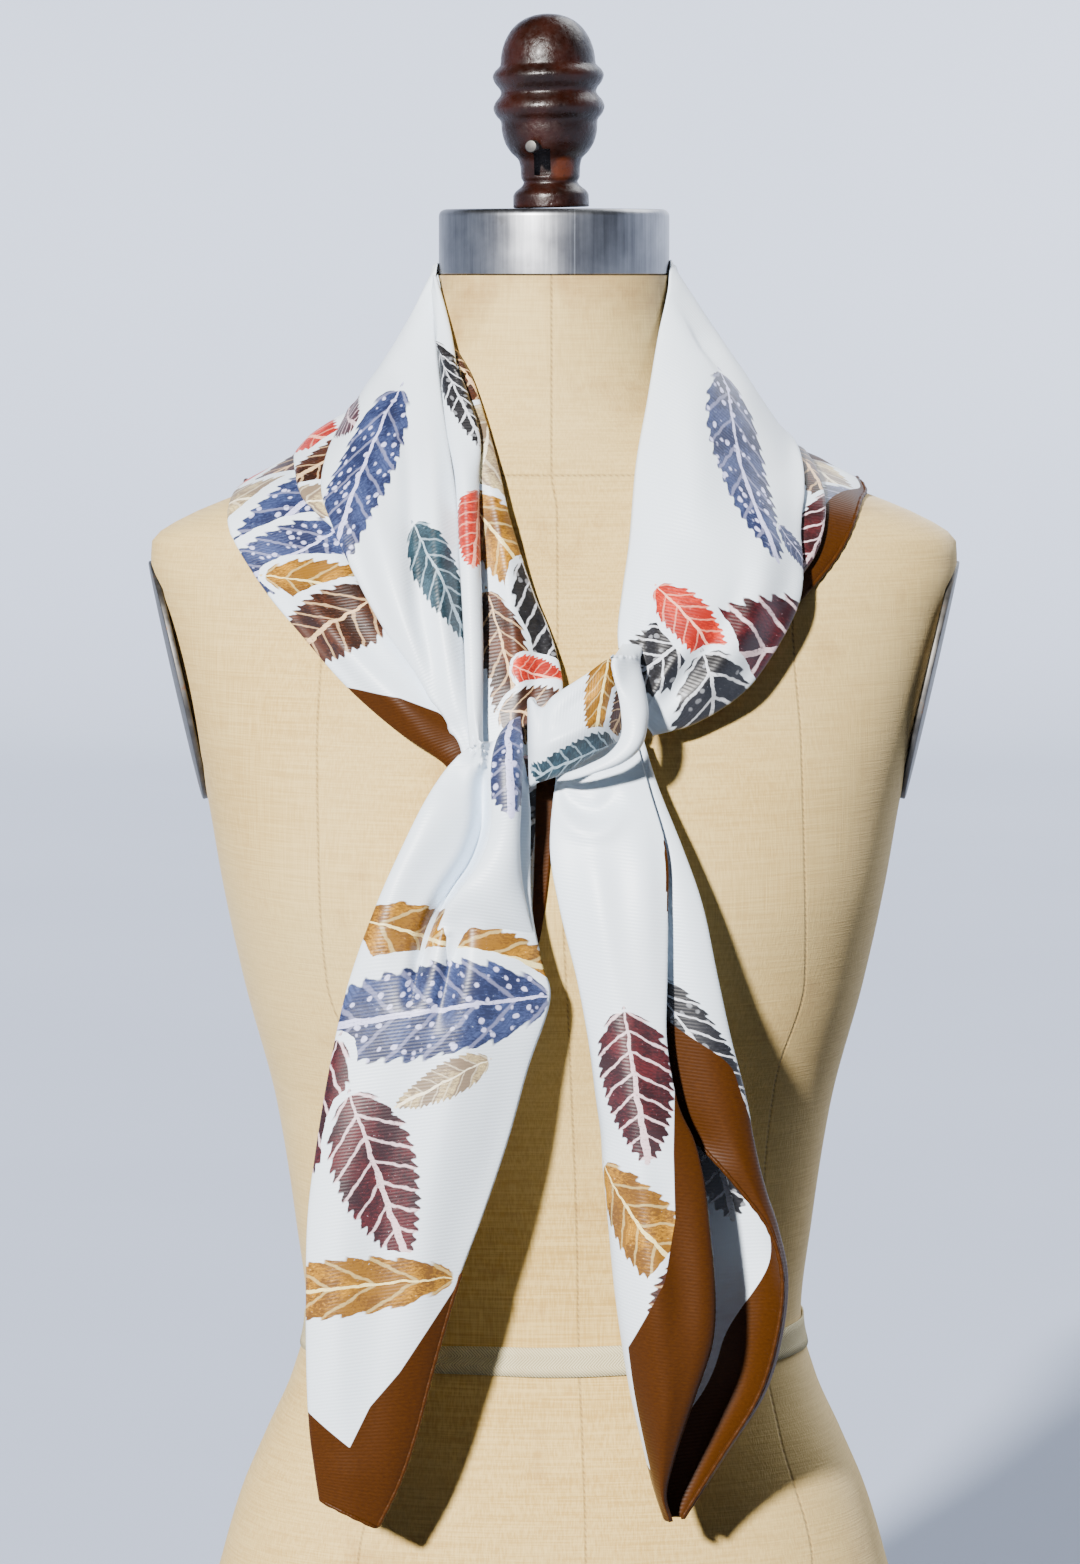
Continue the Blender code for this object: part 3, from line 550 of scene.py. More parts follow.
# %% Neck band
def lathe(name, profile, sides):
    """A turned piece from rows of height and radius in mm, bottom row first: one disc,
    extruded and scaled from row to row."""
    bpy.ops.object.select_all(action="DESELECT")
    base, width = profile[0]
    bpy.ops.mesh.primitive_circle_add(vertices=sides, radius=width * MM, fill_type="NGON")
    piece = bpy.context.object
    piece.name = piece.data.name = name
    piece.data.transform(shift(0.0, 0.0, base))
    bpy.ops.object.mode_set(mode="EDIT")
    bpy.ops.mesh.select_all(action="SELECT")
    for low, high in zip(profile, profile[1:]):
        rise, scale = (high[0] - low[0]) * MM, high[1] / low[1]
        bpy.ops.mesh.extrude_region_move(TRANSFORM_OT_translate={"value": (0.0, 0.0, rise)})
        bpy.ops.transform.resize(value=(scale, scale, 1.0), center_override=(0.0, 0.0, 0.0))
    bpy.ops.mesh.select_all(action="SELECT")
    bpy.ops.mesh.normals_make_consistent(inside=False)
    bpy.ops.object.mode_set(mode="OBJECT")
    shade(piece, 40)
    return piece


BAND_GAP, BAND_BEVEL = 0.35, 0.4  # above the linen, and at the foot of the drum
EDGE_STEPS = 6
rim = [(BAND_GAP, BAND_RADIUS - BAND_BEVEL), (BAND_GAP + BAND_BEVEL, BAND_RADIUS)]
for k in range(EDGE_STEPS + 1):
    angle = math.pi / 2 * k / EDGE_STEPS
    rim.append((BAND_HEIGHT - BAND_EDGE + BAND_EDGE * math.sin(angle),
                BAND_RADIUS - BAND_EDGE + BAND_EDGE * math.cos(angle)))
rim += [(BAND_HEIGHT, 30.0), (BAND_HEIGHT, 10.0)]
band = lathe("aluminium_neck_band", rim, 160)
band.data.transform(shift(0.0, NECK_CENTRE_Y, NECK_TOP))
print("neck band rows:", len(rim))

# %% Brushed aluminium
# rolled and brushed upright: a soft, drawn-out gleam, duller in clouds
aluminium, shader, place = new_material("brushed_aluminium")
JOIN_X = 0.0085
marks = streaks(aluminium, place, (420.0, 420.0, 12.0), 6.0, 0.7)
clouds = node(aluminium, "TexNoise", {"Vector": place, "Scale": 60.0, "Detail": 4.0})
dull = node(aluminium, "Math", {0: marks, 1: clouds}, operation="ADD")
tint = over(aluminium, "#727377", "#97999d", dull, 0.75, 1.25)
# the strip's ends meet in a bright line in front, and grime sits here and there
spot = node(aluminium, "SeparateXYZ", {0: place})
join = node(aluminium, "Math", {0: (spot, 0), 1: -JOIN_X}, operation="ADD")
join = node(aluminium, "Math", {0: join}, operation="ABSOLUTE")
tint = over(aluminium, tint, "#c8ccd2", join, 0.00035, 0.0001, 0.5)
grime = node(aluminium, "TexNoise", {"Vector": place, "Scale": 130.0, "Detail": 6.0})
connect(aluminium, shader, {
    "Metallic": 1.0,
    "Base Color": over(aluminium, tint, "#5c5a58", grime, 0.66, 0.76, 0.4),
    "Roughness": node(aluminium, "MapRange", {"Value": dull, "From Min": 0.75, "From Max": 1.25,
                                              "To Min": 0.34, "To Max": 0.40}),
    "Normal": node(aluminium, "Bump", {"Height": marks, "Strength": 0.12, "Distance": 0.00004}),
})
finish_part(band, aluminium, ["neck_band"])

# %% Arm plates
# rolled mild steel, oiled: dark grey scale, rusting through in spots
steel, shader, place = new_material("steel_plate")
scale = node(steel, "TexNoise", {"Vector": place, "Scale": 110.0, "Detail": 8.0, "Roughness": 0.6})
tint = over(steel, "#4a4845", "#63615e", scale, 0.35, 0.65)
connect(steel, shader, {
    "Metallic": 1.0,
    "Base Color": over(steel, tint, "#6b4426", scale, 0.62, 0.72),
    "Roughness": node(steel, "MapRange", {"Value": scale, "From Min": 0.3, "From Max": 0.7,
                                          "To Min": 0.38, "To Max": 0.6}),
    "Normal": node(steel, "Bump", {"Height": scale, "Strength": 0.3, "Distance": 0.0003}),
})


def soften(piece, width, sharp):
    """Rounds the edges of a piece by a width in millimetres and shades it."""
    rounding = piece.modifiers.new("rounding", "BEVEL")
    rounding.width = width * MM
    rounding.segments = 3
    rounding.limit_method = "ANGLE"
    apply_modifiers(piece)
    shade(piece, sharp)


ARM_PLATE_THICK, ARM_PLATE_INSET, ARM_PLATE_GAP = 2.5, 1.5, 0.3
for side, word in ((-1, "left"), (1, "right")):
    centre, normal = arm_plane(side)
    size = [value - ARM_PLATE_INSET for value in ARM_PLATE_HALF]
    plate = oval_disc("steel_arm_plate_" + word, size, ARM_PLATE_THICK, 96)
    middle = centre + normal * (ARM_PLATE_THICK / 2 + ARM_PLATE_GAP) * MM
    plate.data.transform(facing(middle, normal))
    soften(plate, 0.6, 40)
    finish_part(plate, steel, ["arm_plate_" + word])

# %% [markdown]
# ## Finial and pin
# The knob on top is cast iron under dark red-brown lacquer: a dome, two thick rings, a cup, a
# narrow throat and a foot. A slot in its front takes the pin that locks it on its pole.

# %% Finial
# each row: height above the foot, radius
FINIAL = [
    (0.35, 15.6), (0.8, 16.2), (5.6, 16.1), (7.2, 15.2), (9.6, 12.4), (11.2, 11.5), (13.0, 12.5),
    (17.0, 12.7), (20.5, 13.4), (24.0, 16.6), (28.5, 19.2), (33.0, 20.3), (37.0, 20.6),
    (40.0, 22.8), (42.8, 23.7), (45.2, 22.9), (47.8, 20.9), (49.2, 20.3), (50.4, 20.6),
    (53.4, 22.8), (56.2, 23.7), (58.6, 22.6), (60.8, 20.4), (65.0, 19.9), (70.0, 18.6),
    (75.4, 15.6), (79.6, 11.0), (81.8, 5.5), (82.35, 1.5),
]
FINIAL_X, FINIAL_GAP, FINIAL_LEAN = -1.2, 0.45, -1.3
FINIAL_STEP = 0.9
SLOT_SIZE, SLOT_PLACE = (7.0, 30.0, 11.0), (-3.4, -20.0, 19.5)
foot = shift(FINIAL_X, NECK_CENTRE_Y, NECK_TOP + BAND_HEIGHT + FINIAL_GAP)
foot = foot @ Matrix.Rotation(math.radians(FINIAL_LEAN), 4, "Y")
smooth_rows = [FINIAL[0]]
for low, high in zip(FINIAL, FINIAL[1:]):
    count = max(2, round((high[0] - low[0]) / FINIAL_STEP))
    smooth_rows += [tuple(rows_at(FINIAL, z)) for z in np.linspace(low[0], high[0], count + 1)[1:]]
finial = lathe("iron_finial", smooth_rows, 96)
bpy.ops.object.select_all(action="DESELECT")
bpy.ops.mesh.primitive_cube_add(size=1.0)
cutter = bpy.context.object
cutter.data.transform(shift(*SLOT_PLACE) @ Matrix.Diagonal([c * MM for c in SLOT_SIZE] + [1.0]))
cut_away(finial, cutter)
shade(finial, 50)
finial.data.transform(foot)
print("finial rows:", len(smooth_rows))

# %% Lacquered cast iron
# sand-cast, so pitted, under dark lacquer that has run and worn: a broken, oily gleam
iron, shader, place = new_material("lacquered_cast_iron")
WORN_PLACE = (0.0055, -0.0095, 0.7405)
pits = node(iron, "TexNoise", {"Vector": place, "Scale": 420.0, "Detail": 5.0, "Roughness": 0.6})
runs = node(iron, "TexNoise", {"Vector": place, "Scale": 70.0, "Detail": 3.0})
tint = over(iron, "#120502", "#260d06", runs, 0.35, 0.65)
# one patch by the slot has worn through to rust
patch = node(iron, "VectorMath", {0: place, 1: WORN_PLACE}, operation="DISTANCE")
patch = node(iron, "Math", {0: runs, 1: -0.010, 2: (patch, 1)}, operation="MULTIPLY_ADD")
tint = over(iron, tint, "#4e2410", patch, 0.0015, -0.001, 0.7)
connect(iron, shader, {
    "Base Color": over(iron, tint, "#120604", pits, 0.60, 0.72, 0.7),
    "Roughness": node(iron, "MapRange", {"Value": pits, "From Min": 0.3, "From Max": 0.7,
                                         "To Min": 0.22, "To Max": 0.5}),
    "Normal": node(iron, "Bump", {"Height": pits, "Strength": 0.55, "Distance": 0.0006}),
    "Coat Weight": 0.05, "Coat Roughness": 0.2, "Specular IOR Level": 0.3,
})
finish_part(finial, iron, ["finial"])

# %% Pin
PIN_RADIUS, PIN_LONG = 2.7, 4.0
PIN_PLACE, PIN_TURN = (-7.4, -20.5, 26.0), -22.0
pin = oval_disc("steel_pin", (PIN_RADIUS, PIN_RADIUS), PIN_LONG, 40)
turn = Matrix.Rotation(math.radians(PIN_TURN), 4, "Z") @ Matrix.Rotation(math.pi / 2, 4, "X")
pin.data.transform(foot @ shift(*PIN_PLACE) @ turn)
soften(pin, 0.5, 50)
finish_part(pin, steel, ["finial_pin"])

# %% [markdown]
# ## Printed silk twill
# The square is printed in many colours on white twill and edged in plain brown. The print is a
# scatter of drawn leaves. One leaf is drawn once, in its own coordinates from tip to base and
# side to side, and a short table says where each leaf of the print lies, how big it is and in
# which colours. The cloth's own flat layout carries it, so it bends with every fold.

# %% The scatter of leaves
# each row: ground, shade, veins, then how much it is spotted, veined and banded
LEAF_COLOURS = [
    ("#3e4b76", "#1c2342", "#bfc1ec", 1.0, 0.25, 0.0),      # slate with pale spots
    ("#50171c", "#22060a", "#d6bcc4", 0.0, 1.0, 0.0),       # burgundy
    ("#b88218", "#63400c", "#eedb98", 0.0, 0.35, 0.8),      # ochre
    ("#26262a", "#0c0c0f", "#c9ced8", 0.3, 1.0, 0.0),       # charcoal
    ("#d8361c", "#8e1a10", "#f4a892", 0.0, 0.5, 0.25),      # coral
    ("#532a15", "#231007", "#d8b488", 0.0, 0.6, 0.5),       # chestnut
    ("#d2bf8c", "#7a6a58", "#f6ecd0", 0.0, 0.4, 1.0),       # straw
    ("#35505e", "#182830", "#9db4c4", 0.0, 0.7, 0.0),       # teal
]
SLATE, BURGUNDY, OCHRE, CHARCOAL, CORAL, CHESTNUT, STRAW, TEAL = range(8)
# each row: place across and along the square, angle in degrees, length, width, colours
LEAVES = [
    # left side of the collar
    (3, 150, 80, 55, 30, CHESTNUT), (-4, 200, 110, 75, 36, STRAW), (2, 236, 60, 64, 36, OCHRE),
    # the charcoal leaf next is print, placed low on the inner layer, and it is also painted shade along
    # the top edge of the knot
    (13, 274, 80, 70, 32, CHARCOAL), (-10, 286, 85, 66, 26, CHESTNUT), (4, 291, 20, 26, 20, CORAL),
    (6, 309, 15, 40, 30, CHESTNUT), (182, 128, 15, 80, 40, CORAL), (218, 128, 150, 80, 36, CHESTNUT),
    (190, 158, 20, 90, 40, STRAW), (212, 172, 145, 100, 46, SLATE), (188, 202, 160, 80, 40, SLATE),
    (214, 222, 25, 70, 36, OCHRE), (194, 242, 150, 80, 36, CHESTNUT), (392, 122, 50, 60, 30, CORAL),
    (410, 152, 150, 70, 32, CHESTNUT), (400, 185, 20, 50, 28, STRAW), (586, 150, 65, 50, 22, BURGUNDY),
    (590, 205, 128, 96, 44, SLATE), (616, 268, 80, 60, 26, TEAL), (800, 165, 80, 60, 22, CHARCOAL),
    (802, 232, 100, 36, 28, CORAL),
    # right side of the collar
    (1402, 192, 62, 88, 40, SLATE), (1436, 215, 30, 30, 18, SLATE), (1420, 278, 150, 104, 58, BURGUNDY),
    (1384, 300, 112, 60, 40, CHARCOAL), (1394, 276, 30, 50, 24, CORAL),
    (1430, 310, 42, 76, 40, CHARCOAL), (1200, 150, 75, 70, 28, CHESTNUT),
    (1203, 200, 100, 60, 26, BURGUNDY), (994, 132, 50, 60, 32, STRAW), (1003, 172, 110, 60, 32, SLATE),
    # left tail
    (6, 702, 8, 120, 34, OCHRE), (-10, 731, 172, 124, 50, SLATE), (-44, 782, 100, 84, 36, BURGUNDY),
    (-6, 800, 62, 80, 40, BURGUNDY), (-30, 848, 176, 130, 30, OCHRE), (12, 760, 150, 40, 20, STRAW),
    # right tail, its front and its inside; then the ply behind the left tail's right edge, whose dark
    # leaves are painted shade for the deep gap between the tails
    (375, 744, 95, 62, 40, BURGUNDY), (372, 806, 130, 74, 36, OCHRE), (362, 836, 60, 60, 32, CHESTNUT),
    (300, 780, 150, 60, 30, SLATE), (456, 770, 80, 70, 40, CHARCOAL), (484, 728, 110, 60, 30, CHARCOAL),
    (1594, 620, 85, 90, 80, BURGUNDY), (1600, 670, 95, 110, 80, CHARCOAL),
    # knot and lobe
    (908, 622, 165, 44, 26, OCHRE), (897, 610, 150, 32, 18, CHESTNUT), (884, 638, 78, 50, 22, TEAL),
    (700, 616, 88, 68, 46, SLATE),
    # back
    (2100, 165, 80, 100, 42, CORAL), (2020, 190, 40, 110, 48, SLATE),
    (2180, 185, 140, 110, 46, BURGUNDY), (2070, 230, 110, 100, 44, OCHRE),
    (2140, 245, 60, 110, 48, CHARCOAL), (1990, 255, 150, 100, 44, CHESTNUT),
    (2215, 260, 20, 90, 40, STRAW), (2050, 305, 25, 110, 48, BURGUNDY),
    (2125, 325, 125, 110, 46, SLATE), (2185, 320, 70, 100, 42, TEAL), (2080, 385, 80, 110, 46, OCHRE),
    (2150, 395, 150, 80, 34, CORAL),
]
print(len(LEAVES), "leaves in the print")

# %% Where each leaf lies
silk, shader, cloth_map = new_material("printed_silk_twill", "cloth")
WAVER = 0.0030                    # hand-drawn edges: the whole print wavers by a millimetre or so
waver = node(silk, "TexNoise", {"Vector": cloth_map, "Scale": 160.0, "Detail": 3.0})
shift_by = node(silk, "VectorMath", {0: (waver, 1), 1: (0.5, 0.5, 0.5)}, operation="SUBTRACT")
shift_by = node(silk, "VectorMath", {0: shift_by, "Scale": WAVER}, operation="SCALE")
drawn = node(silk, "VectorMath", {0: cloth_map, 1: shift_by}, operation="ADD")
drawn = node(silk, "VectorMath", {0: drawn, 1: (1.0, 1.0, 0.0)}, operation="MULTIPLY")
COLOUR_STEP = 0.01                # the third coordinate in a leaf says which colours it has
MARGIN = 1.08                     # a leaf's own patch of cloth, in half lengths
leaf = None
for across, along, angle, length, width, colour in LEAVES:
    own = node(silk, "Mapping", {
        "Vector": drawn, "Location": (across * MM, along * MM, -COLOUR_STEP * colour),
        "Rotation": (0.0, 0.0, math.radians(angle)),
        "Scale": (length / 2 * MM, width / 2 * MM, 1.0),
    }, vector_type="TEXTURE")
    if leaf is None:
        leaf = (own, 0)
        continue
    size = node(silk, "VectorMath", {0: own}, operation="LENGTH")
    inside = node(silk, "Math", {0: (size, 1), 1: MARGIN}, operation="LESS_THAN")
    leaf = (node(silk, "Mix", {0: inside, 4: leaf, 5: own}, data_type="VECTOR"), 1)
print("silk nodes so far:", len(silk.node_tree.nodes))

# %% One leaf, drawn once
parts = node(silk, "SeparateXYZ", {0: leaf})
run, side = (parts, 0), (parts, 1)
wide = node(silk, "Math", {0: side}, operation="ABSOLUTE")
slant = node(silk, "Math", {0: wide, 1: -0.42, 2: run}, operation="MULTIPLY_ADD")
# outline: round at the base, pointed at the tip, with barbs along its edge
hull = node(silk, "Math", {0: run, 1: run}, operation="MULTIPLY")
hull = node(silk, "Math", {0: 1.0, 1: hull}, operation="SUBTRACT", use_clamp=True)
hull = node(silk, "Math", {0: hull, 1: 0.62}, operation="POWER")
taper = node(silk, "Math", {0: run, 1: -0.22, 2: 0.80}, operation="MULTIPLY_ADD")
hull = node(silk, "Math", {0: hull, 1: taper}, operation="MULTIPLY")
edge = node(silk, "Math", {0: waves(silk, slant, 46.0), 1: 0.055, 2: hull}, operation="MULTIPLY_ADD")
depth = node(silk, "Math", {0: edge, 1: wide}, operation="SUBTRACT")
in_leaf = node(silk, "MapRange", {"Value": depth, "From Min": 0.0, "From Max": 0.035})
# which colours: one even step of each ramp for each row of the table
count = len(LEAF_COLOURS)
which = node(silk, "Math", {0: (parts, 2), 1: 1 / (count * COLOUR_STEP), 2: 0.5 / count},
             operation="MULTIPLY_ADD")
ground, shaded, vein = [node(silk, "ValToRGB", {0: which}, [row[k] for row in LEAF_COLOURS])
                        for k in range(3)]
kind = node(silk, "ValToRGB", {0: which}, [row[3:] + (1.0,) for row in LEAF_COLOURS])
kind = node(silk, "SeparateColor", {0: kind})
spotted, veined, banded = (kind, 0), (kind, 1), (kind, 2)
print("leaf outline and", count, "sets of colours")

# %% Veins, spots, bands and the tooth of the crayon
# spots about 4 mm apart
spots = node(silk, "TexVoronoi", {"Vector": drawn, "Scale": 230.0, "Randomness": 0.8})
spots = node(silk, "MapRange", {"Value": spots, "From Min": 0.34, "From Max": 0.24})
spots = node(silk, "Math", {0: spots, 1: spotted}, operation="MULTIPLY")
# side veins run forward from the midrib
side_veins = node(silk, "MapRange", {"Value": waves(silk, slant, 23.0), "From Min": 0.84,
                                     "From Max": 0.96})
side_veins = node(silk, "Math", {0: side_veins, 1: veined}, operation="MULTIPLY")
midrib = node(silk, "Math", {0: run, 1: 0.03, 2: 0.05}, operation="MULTIPLY_ADD")
midrib = node(silk, "Math", {0: wide, 1: midrib}, operation="LESS_THAN")
pale = node(silk, "Math", {0: spots, 1: side_veins}, operation="MAXIMUM")
pale = node(silk, "Math", {0: pale, 1: midrib}, operation="MAXIMUM")
bands = node(silk, "MapRange", {"Value": waves(silk, slant, 8.0), "From Min": -0.15,
                                "From Max": 0.15})
bands = node(silk, "Math", {0: bands, 1: banded}, operation="MULTIPLY")
# crayon strokes about 1 mm wide and a darker wash here and there
strokes = streaks(silk, drawn, (500.0, 1100.0, 1.0), 4.0, 0.7)
wash = node(silk, "TexNoise", {"Vector": drawn, "Scale": 70.0, "Detail": 3.0})
tone = node(silk, "Math", {0: strokes, 1: wash}, operation="ADD")
tone = node(silk, "MapRange", {"Value": tone, "From Min": 0.80, "From Max": 1.08})
tone = node(silk, "Math", {0: tone, 1: bands}, operation="MAXIMUM")
# hatching that follows the side veins
hatch = node(silk, "MapRange", {"Value": waves(silk, slant, 130.0), "From Min": 0.1,
                                "From Max": 0.7, "To Max": 0.55})
tone = node(silk, "Math", {0: tone, 1: hatch}, operation="MAXIMUM")
grain = node(silk, "MapRange", {"Value": strokes, "From Min": 0.30, "From Max": 0.45})
pale = node(silk, "Math", {0: pale, 1: grain}, operation="MULTIPLY")
crayon = over(silk, over(silk, ground, shaded, tone), vein, pale)
print("silk nodes with the leaf:", len(silk.node_tree.nodes))

# %% White ground, brown border and the twill itself
BORDER_EDGE = 0.00015             # the brown's edge is this sharp, in metres
white = node(silk, "TexNoise", {"Vector": cloth_map, "Scale": 9.0, "Detail": 2.0})
white = over(silk, "#d6e5f5", "#e2edf9", white)
tooth = node(silk, "MapRange", {"Value": strokes, "From Min": 0.22, "From Max": 0.34})
ink = node(silk, "Math", {0: in_leaf, 1: tooth}, operation="MULTIPLY")
printed = over(silk, white, crayon, ink)
brown = over(silk, "#281304", "#4a290a", strokes)
border = (node(silk, "Attribute", {}, attribute_name="border"), 2)
# twill ribs: real ones are 0.3 mm apart; drawn 1.5 mm apart so that they show
RIB = 1.5
ribs = node(silk, "SeparateXYZ", {0: cloth_map})
ribs = node(silk, "Math", {0: (ribs, 0), 1: 0.12, 2: (ribs, 1)}, operation="MULTIPLY_ADD")
ribs = waves(silk, ribs, 2 * math.pi / (RIB * MM))
threads = node(silk, "TexNoise", {"Vector": cloth_map, "Scale": 1400.0, "Detail": 2.0})
relief = node(silk, "Math", {0: threads, 1: 1.2, 2: ribs}, operation="MULTIPLY_ADD")
connect(silk, shader, {
    "Base Color": over(silk, printed, brown, border, BORDER_EDGE, -BORDER_EDGE),
    "Normal": node(silk, "Bump", {"Height": relief, "Strength": 0.32, "Distance": 0.00007}),
    "Roughness": 0.42,
    # the brown is printed deep and gleams less
    "Specular IOR Level": node(silk, "MapRange", {
        "Value": border, "From Min": BORDER_EDGE, "From Max": -BORDER_EDGE,
        "To Min": 0.5, "To Max": 0.08,
    }),
    "Sheen Weight": 0.02, "Sheen Roughness": 0.35,
})
print("silk nodes:", len(silk.node_tree.nodes))

# %% [markdown]
# ## Laying the silk
# Cloth is laid one stretch over another, as hands would lay it. Each stretch is a grid of
# points through a short table of its two edges; soft folds raise it, it is lifted clear of all
# that lies below, its folded edges are turned back underneath, and only then does it get its
# thickness. A simulation would not find the one arrangement that fingers made, so it isn't used.

# %% Reading a table smoothly
def through_rows(rows, samples):
    """Rows of a table read at even steps along a smooth curve through them."""
    rows = np.asarray(rows, float)
    last = len(rows) - 1
    t = np.linspace(0.0, last, samples)
    i = np.minimum(t.astype(int), last - 1)
    f = (t - i).reshape((-1,) + (1,) * (rows.ndim - 1))
    padded = np.concatenate([2 * rows[:1] - rows[1:2], rows, 2 * rows[-1:] - rows[-2:-1]])
    before, a, b, after = padded[i], padded[i + 1], padded[i + 2], padded[i + 3]
    return 0.5 * (2 * a + (b - before) * f + (2 * before - 5 * a + 4 * b - after) * f ** 2
                  + (3 * a - before - 3 * b + after) * f ** 3)


def ramp(value, low, high):
    t = np.clip((value - low) / (high - low), 0.0, 1.0)
    return t * t * (3 - 2 * t)


def unit(vectors):
    return vectors / np.maximum(np.linalg.norm(vectors, axis=-1, keepdims=True), 1e-9)


def along_line(points):
    """Distance of each point from the start of its line."""
    steps = np.linalg.norm(np.diff(points, axis=0), axis=1)
    return np.concatenate([[0.0], np.cumsum(steps)])


def read_line(points, places, where):
    """Points at given places along a line."""
    return np.stack([np.interp(where, places, points[:, c]) for c in range(3)], -1)


def outward(points):
    """The way off the form: forward or back on the chest, up over the shoulders and
    sideways at the neck."""
    x, y, z = points[..., 0], points[..., 1], points[..., 2]
    neck = ramp(z, 0.615, 0.660)
    flat = unit(np.stack([x * (0.12 + 0.88 * neck), y - 0.003, np.zeros_like(x)], -1))
    top = (1 - neck) * (1 - ramp(np.abs(y), 0.010, 0.050)) * ramp(z, 0.570, 0.600)
    way = flat * (1 - 0.85 * top)[..., None]
    way[..., 2] += top + 0.2 * (1 - neck)
    return unit(way)


# %% Soft folds
def beside_run(x, z, start, end):
    """How far along a straight run points lie, in shares, how far from it, and on which side."""
    (ax, az), (bx, bz) = start, end
    dx, dz = bx - ax, bz - az
    t = np.clip(((x - ax) * dx + (z - az) * dz) / max(dx * dx + dz * dz, 1e-9), 0.0, 1.0)
    away = np.hypot(x - ax - t * dx, z - az - t * dz)
    across = (dx * (z - az) - dz * (x - ax)) / math.hypot(dx, dz)
    return t, away, across


def fold_height(points, folds):
    """How far folds raise each point, in metres. A fold is the width of its slope on the
    left and on the right, and its crest, seen from the front: x, z and height."""
    x, z = points[..., 0] / MM, points[..., 2] / MM
    total = np.zeros(x.shape)
    for left, right, crest in folds:
        crest = through_rows(crest, 8 * len(crest))
        best = np.full(x.shape, 1e9)
        signed, height = np.zeros(x.shape), np.zeros(x.shape)
        for start, end in zip(crest, crest[1:]):
            t, away, across = beside_run(x, z, start[:2], end[:2])
            nearer = away < best
            signed = np.where(nearer, across, signed)
            height = np.where(nearer, start[2] + (end[2] - start[2]) * t, height)
            best = np.where(nearer, away, best)
        total += height * np.exp(-(best / np.where(signed > 0, right, left)) ** 2)
    return total * MM


# %% Lifting a layer clear of the ones below
LOOSE = 0.7                  # millimetres of air and cloth between two layers
FEEL = 0.25                  # metres off a point from where the layers below are felt for
STEEPEST = 0.45              # a slope steeper than this gets no more room
below = {"points": [], "faces": []}


def lay_down(piece):
    """Adds a finished piece to what later layers lie on."""
    start = len(below["points"])
    below["points"] += [tuple(v.co) for v in piece.data.vertices]
    below["faces"] += [tuple(start + k for k in face.vertices) for face in piece.data.polygons]
    below["tree"] = BVHTree.FromPolygons(below["points"], below["faces"])


def settle(grid, clear, turns, sink):
    """Lifts a grid of points clear of the layers below, as little and as softly as it can.
    Where sink is above 0, in metres, the sheet dives under what it comes out of instead."""
    ways = outward(grid)
    needed = np.zeros(grid.shape[:2])
    for i in range(grid.shape[0]):
        for j in range(grid.shape[1]):
            point, way = Vector(grid[i, j]), Vector(ways[i, j])
            hit, normal = below["tree"].ray_cast(point + way * FEEL, -way, 2 * FEEL)[:2]
            if hit is not None:
                slant = max(STEEPEST, abs(way.dot(normal)))
                needed[i, j] = max(0.0, (hit - point).dot(way) + clear[j] / slant)
    lift = needed.copy()
    rows, columns = lift.shape
    for turn in range(turns):
        padded = np.pad(lift, 1, mode="edge")
        around = [padded[a:a + rows, b:b + columns] for a in range(3) for b in range(3)]
        lift = np.maximum(needed, np.mean(around, axis=0))
    return grid + ways * (lift - sink)[..., None]


def grid_normals(grid):
    """Unit normals of a grid of points, facing off the form."""
    along, across = np.gradient(grid, axis=0), np.gradient(grid, axis=1)
    normals = unit(np.cross(along, across))
    return normals if np.sum(normals * outward(grid)) > 0 else -normals


# %% Folding an edge back underneath
FOLD_RADIUS = 1.5


def turned_back(line, normals, radius, reach, bend_steps=6, back_steps=5):
    """Points of a fold at the start of a line: round the bend, then back underneath."""
    inward = unit(line[2] - line[0])
    points = []
    for k in range(1, bend_steps + 1):
        angle = math.pi * k / bend_steps
        points.append(line[0] - normals[0] * radius * (1 - math.cos(angle))
                      - inward * radius * math.sin(angle))
    places = along_line(line)
    reach = min(reach, 0.45 * places[-1])
    for k in range(1, back_steps + 1):
        under = reach * k / back_steps
        points.append(read_line(line, places, under)
                      - read_line(normals, places, under) * 2 * radius)
    return points


def fold_edges(grid, bend, back_left, back_right):
    """A grid with its two long edges turned back by the given reaches in millimetres."""
    full = []
    for line, normal, radius in zip(grid, grid_normals(grid), bend):
        points = list(line)
        if back_left > 0:
            points = turned_back(line, normal, radius, back_left * MM)[::-1] + points
        if back_right > 0:
            points = points + turned_back(line[::-1], normal[::-1], radius, back_right * MM)
        full.append(points)
    return np.array(full)


# %% A sheet, its flat layout and its border
SILK_THICK = 0.4             # thicker than the real 0.15, so that each face shows cleanly
BORDER = 0.026               # the plain border of the square, in metres


def sheet_piece(name, grid):
    """A sheet through a grid of points, with the flat place of each point in metres."""
    rows, columns = grid.shape[:2]
    faces = [(i * columns + j, i * columns + j + 1, (i + 1) * columns + j + 1, (i + 1) * columns + j)
             for i in range(rows - 1) for j in range(columns - 1)]
    piece = add_mesh(name, grid.reshape(-1, 3), faces)
    across = np.linalg.norm(np.diff(grid, axis=1), axis=-1)
    u = np.concatenate([np.zeros((rows, 1)), np.cumsum(across, axis=1)], axis=1)
    middle = columns // 2
    u -= u[:, middle:middle + 1]
    v = along_line(grid[:, middle])[:, None] + np.zeros(columns)
    return piece, u, v


def set_layout(piece, u, v, at):
    """Writes the flat layout as a UV map in metres, moved to its place on the square."""
    flat = np.stack([u + at[0], v + at[1]], -1).reshape(-1, 2)
    layer = piece.data.uv_layers.new(name="cloth")
    index = np.empty(len(piece.data.loops), dtype=np.int32)
    piece.data.loops.foreach_get("vertex_index", index)
    layer.data.foreach_set("uv", flat[index].ravel().astype(np.float32))


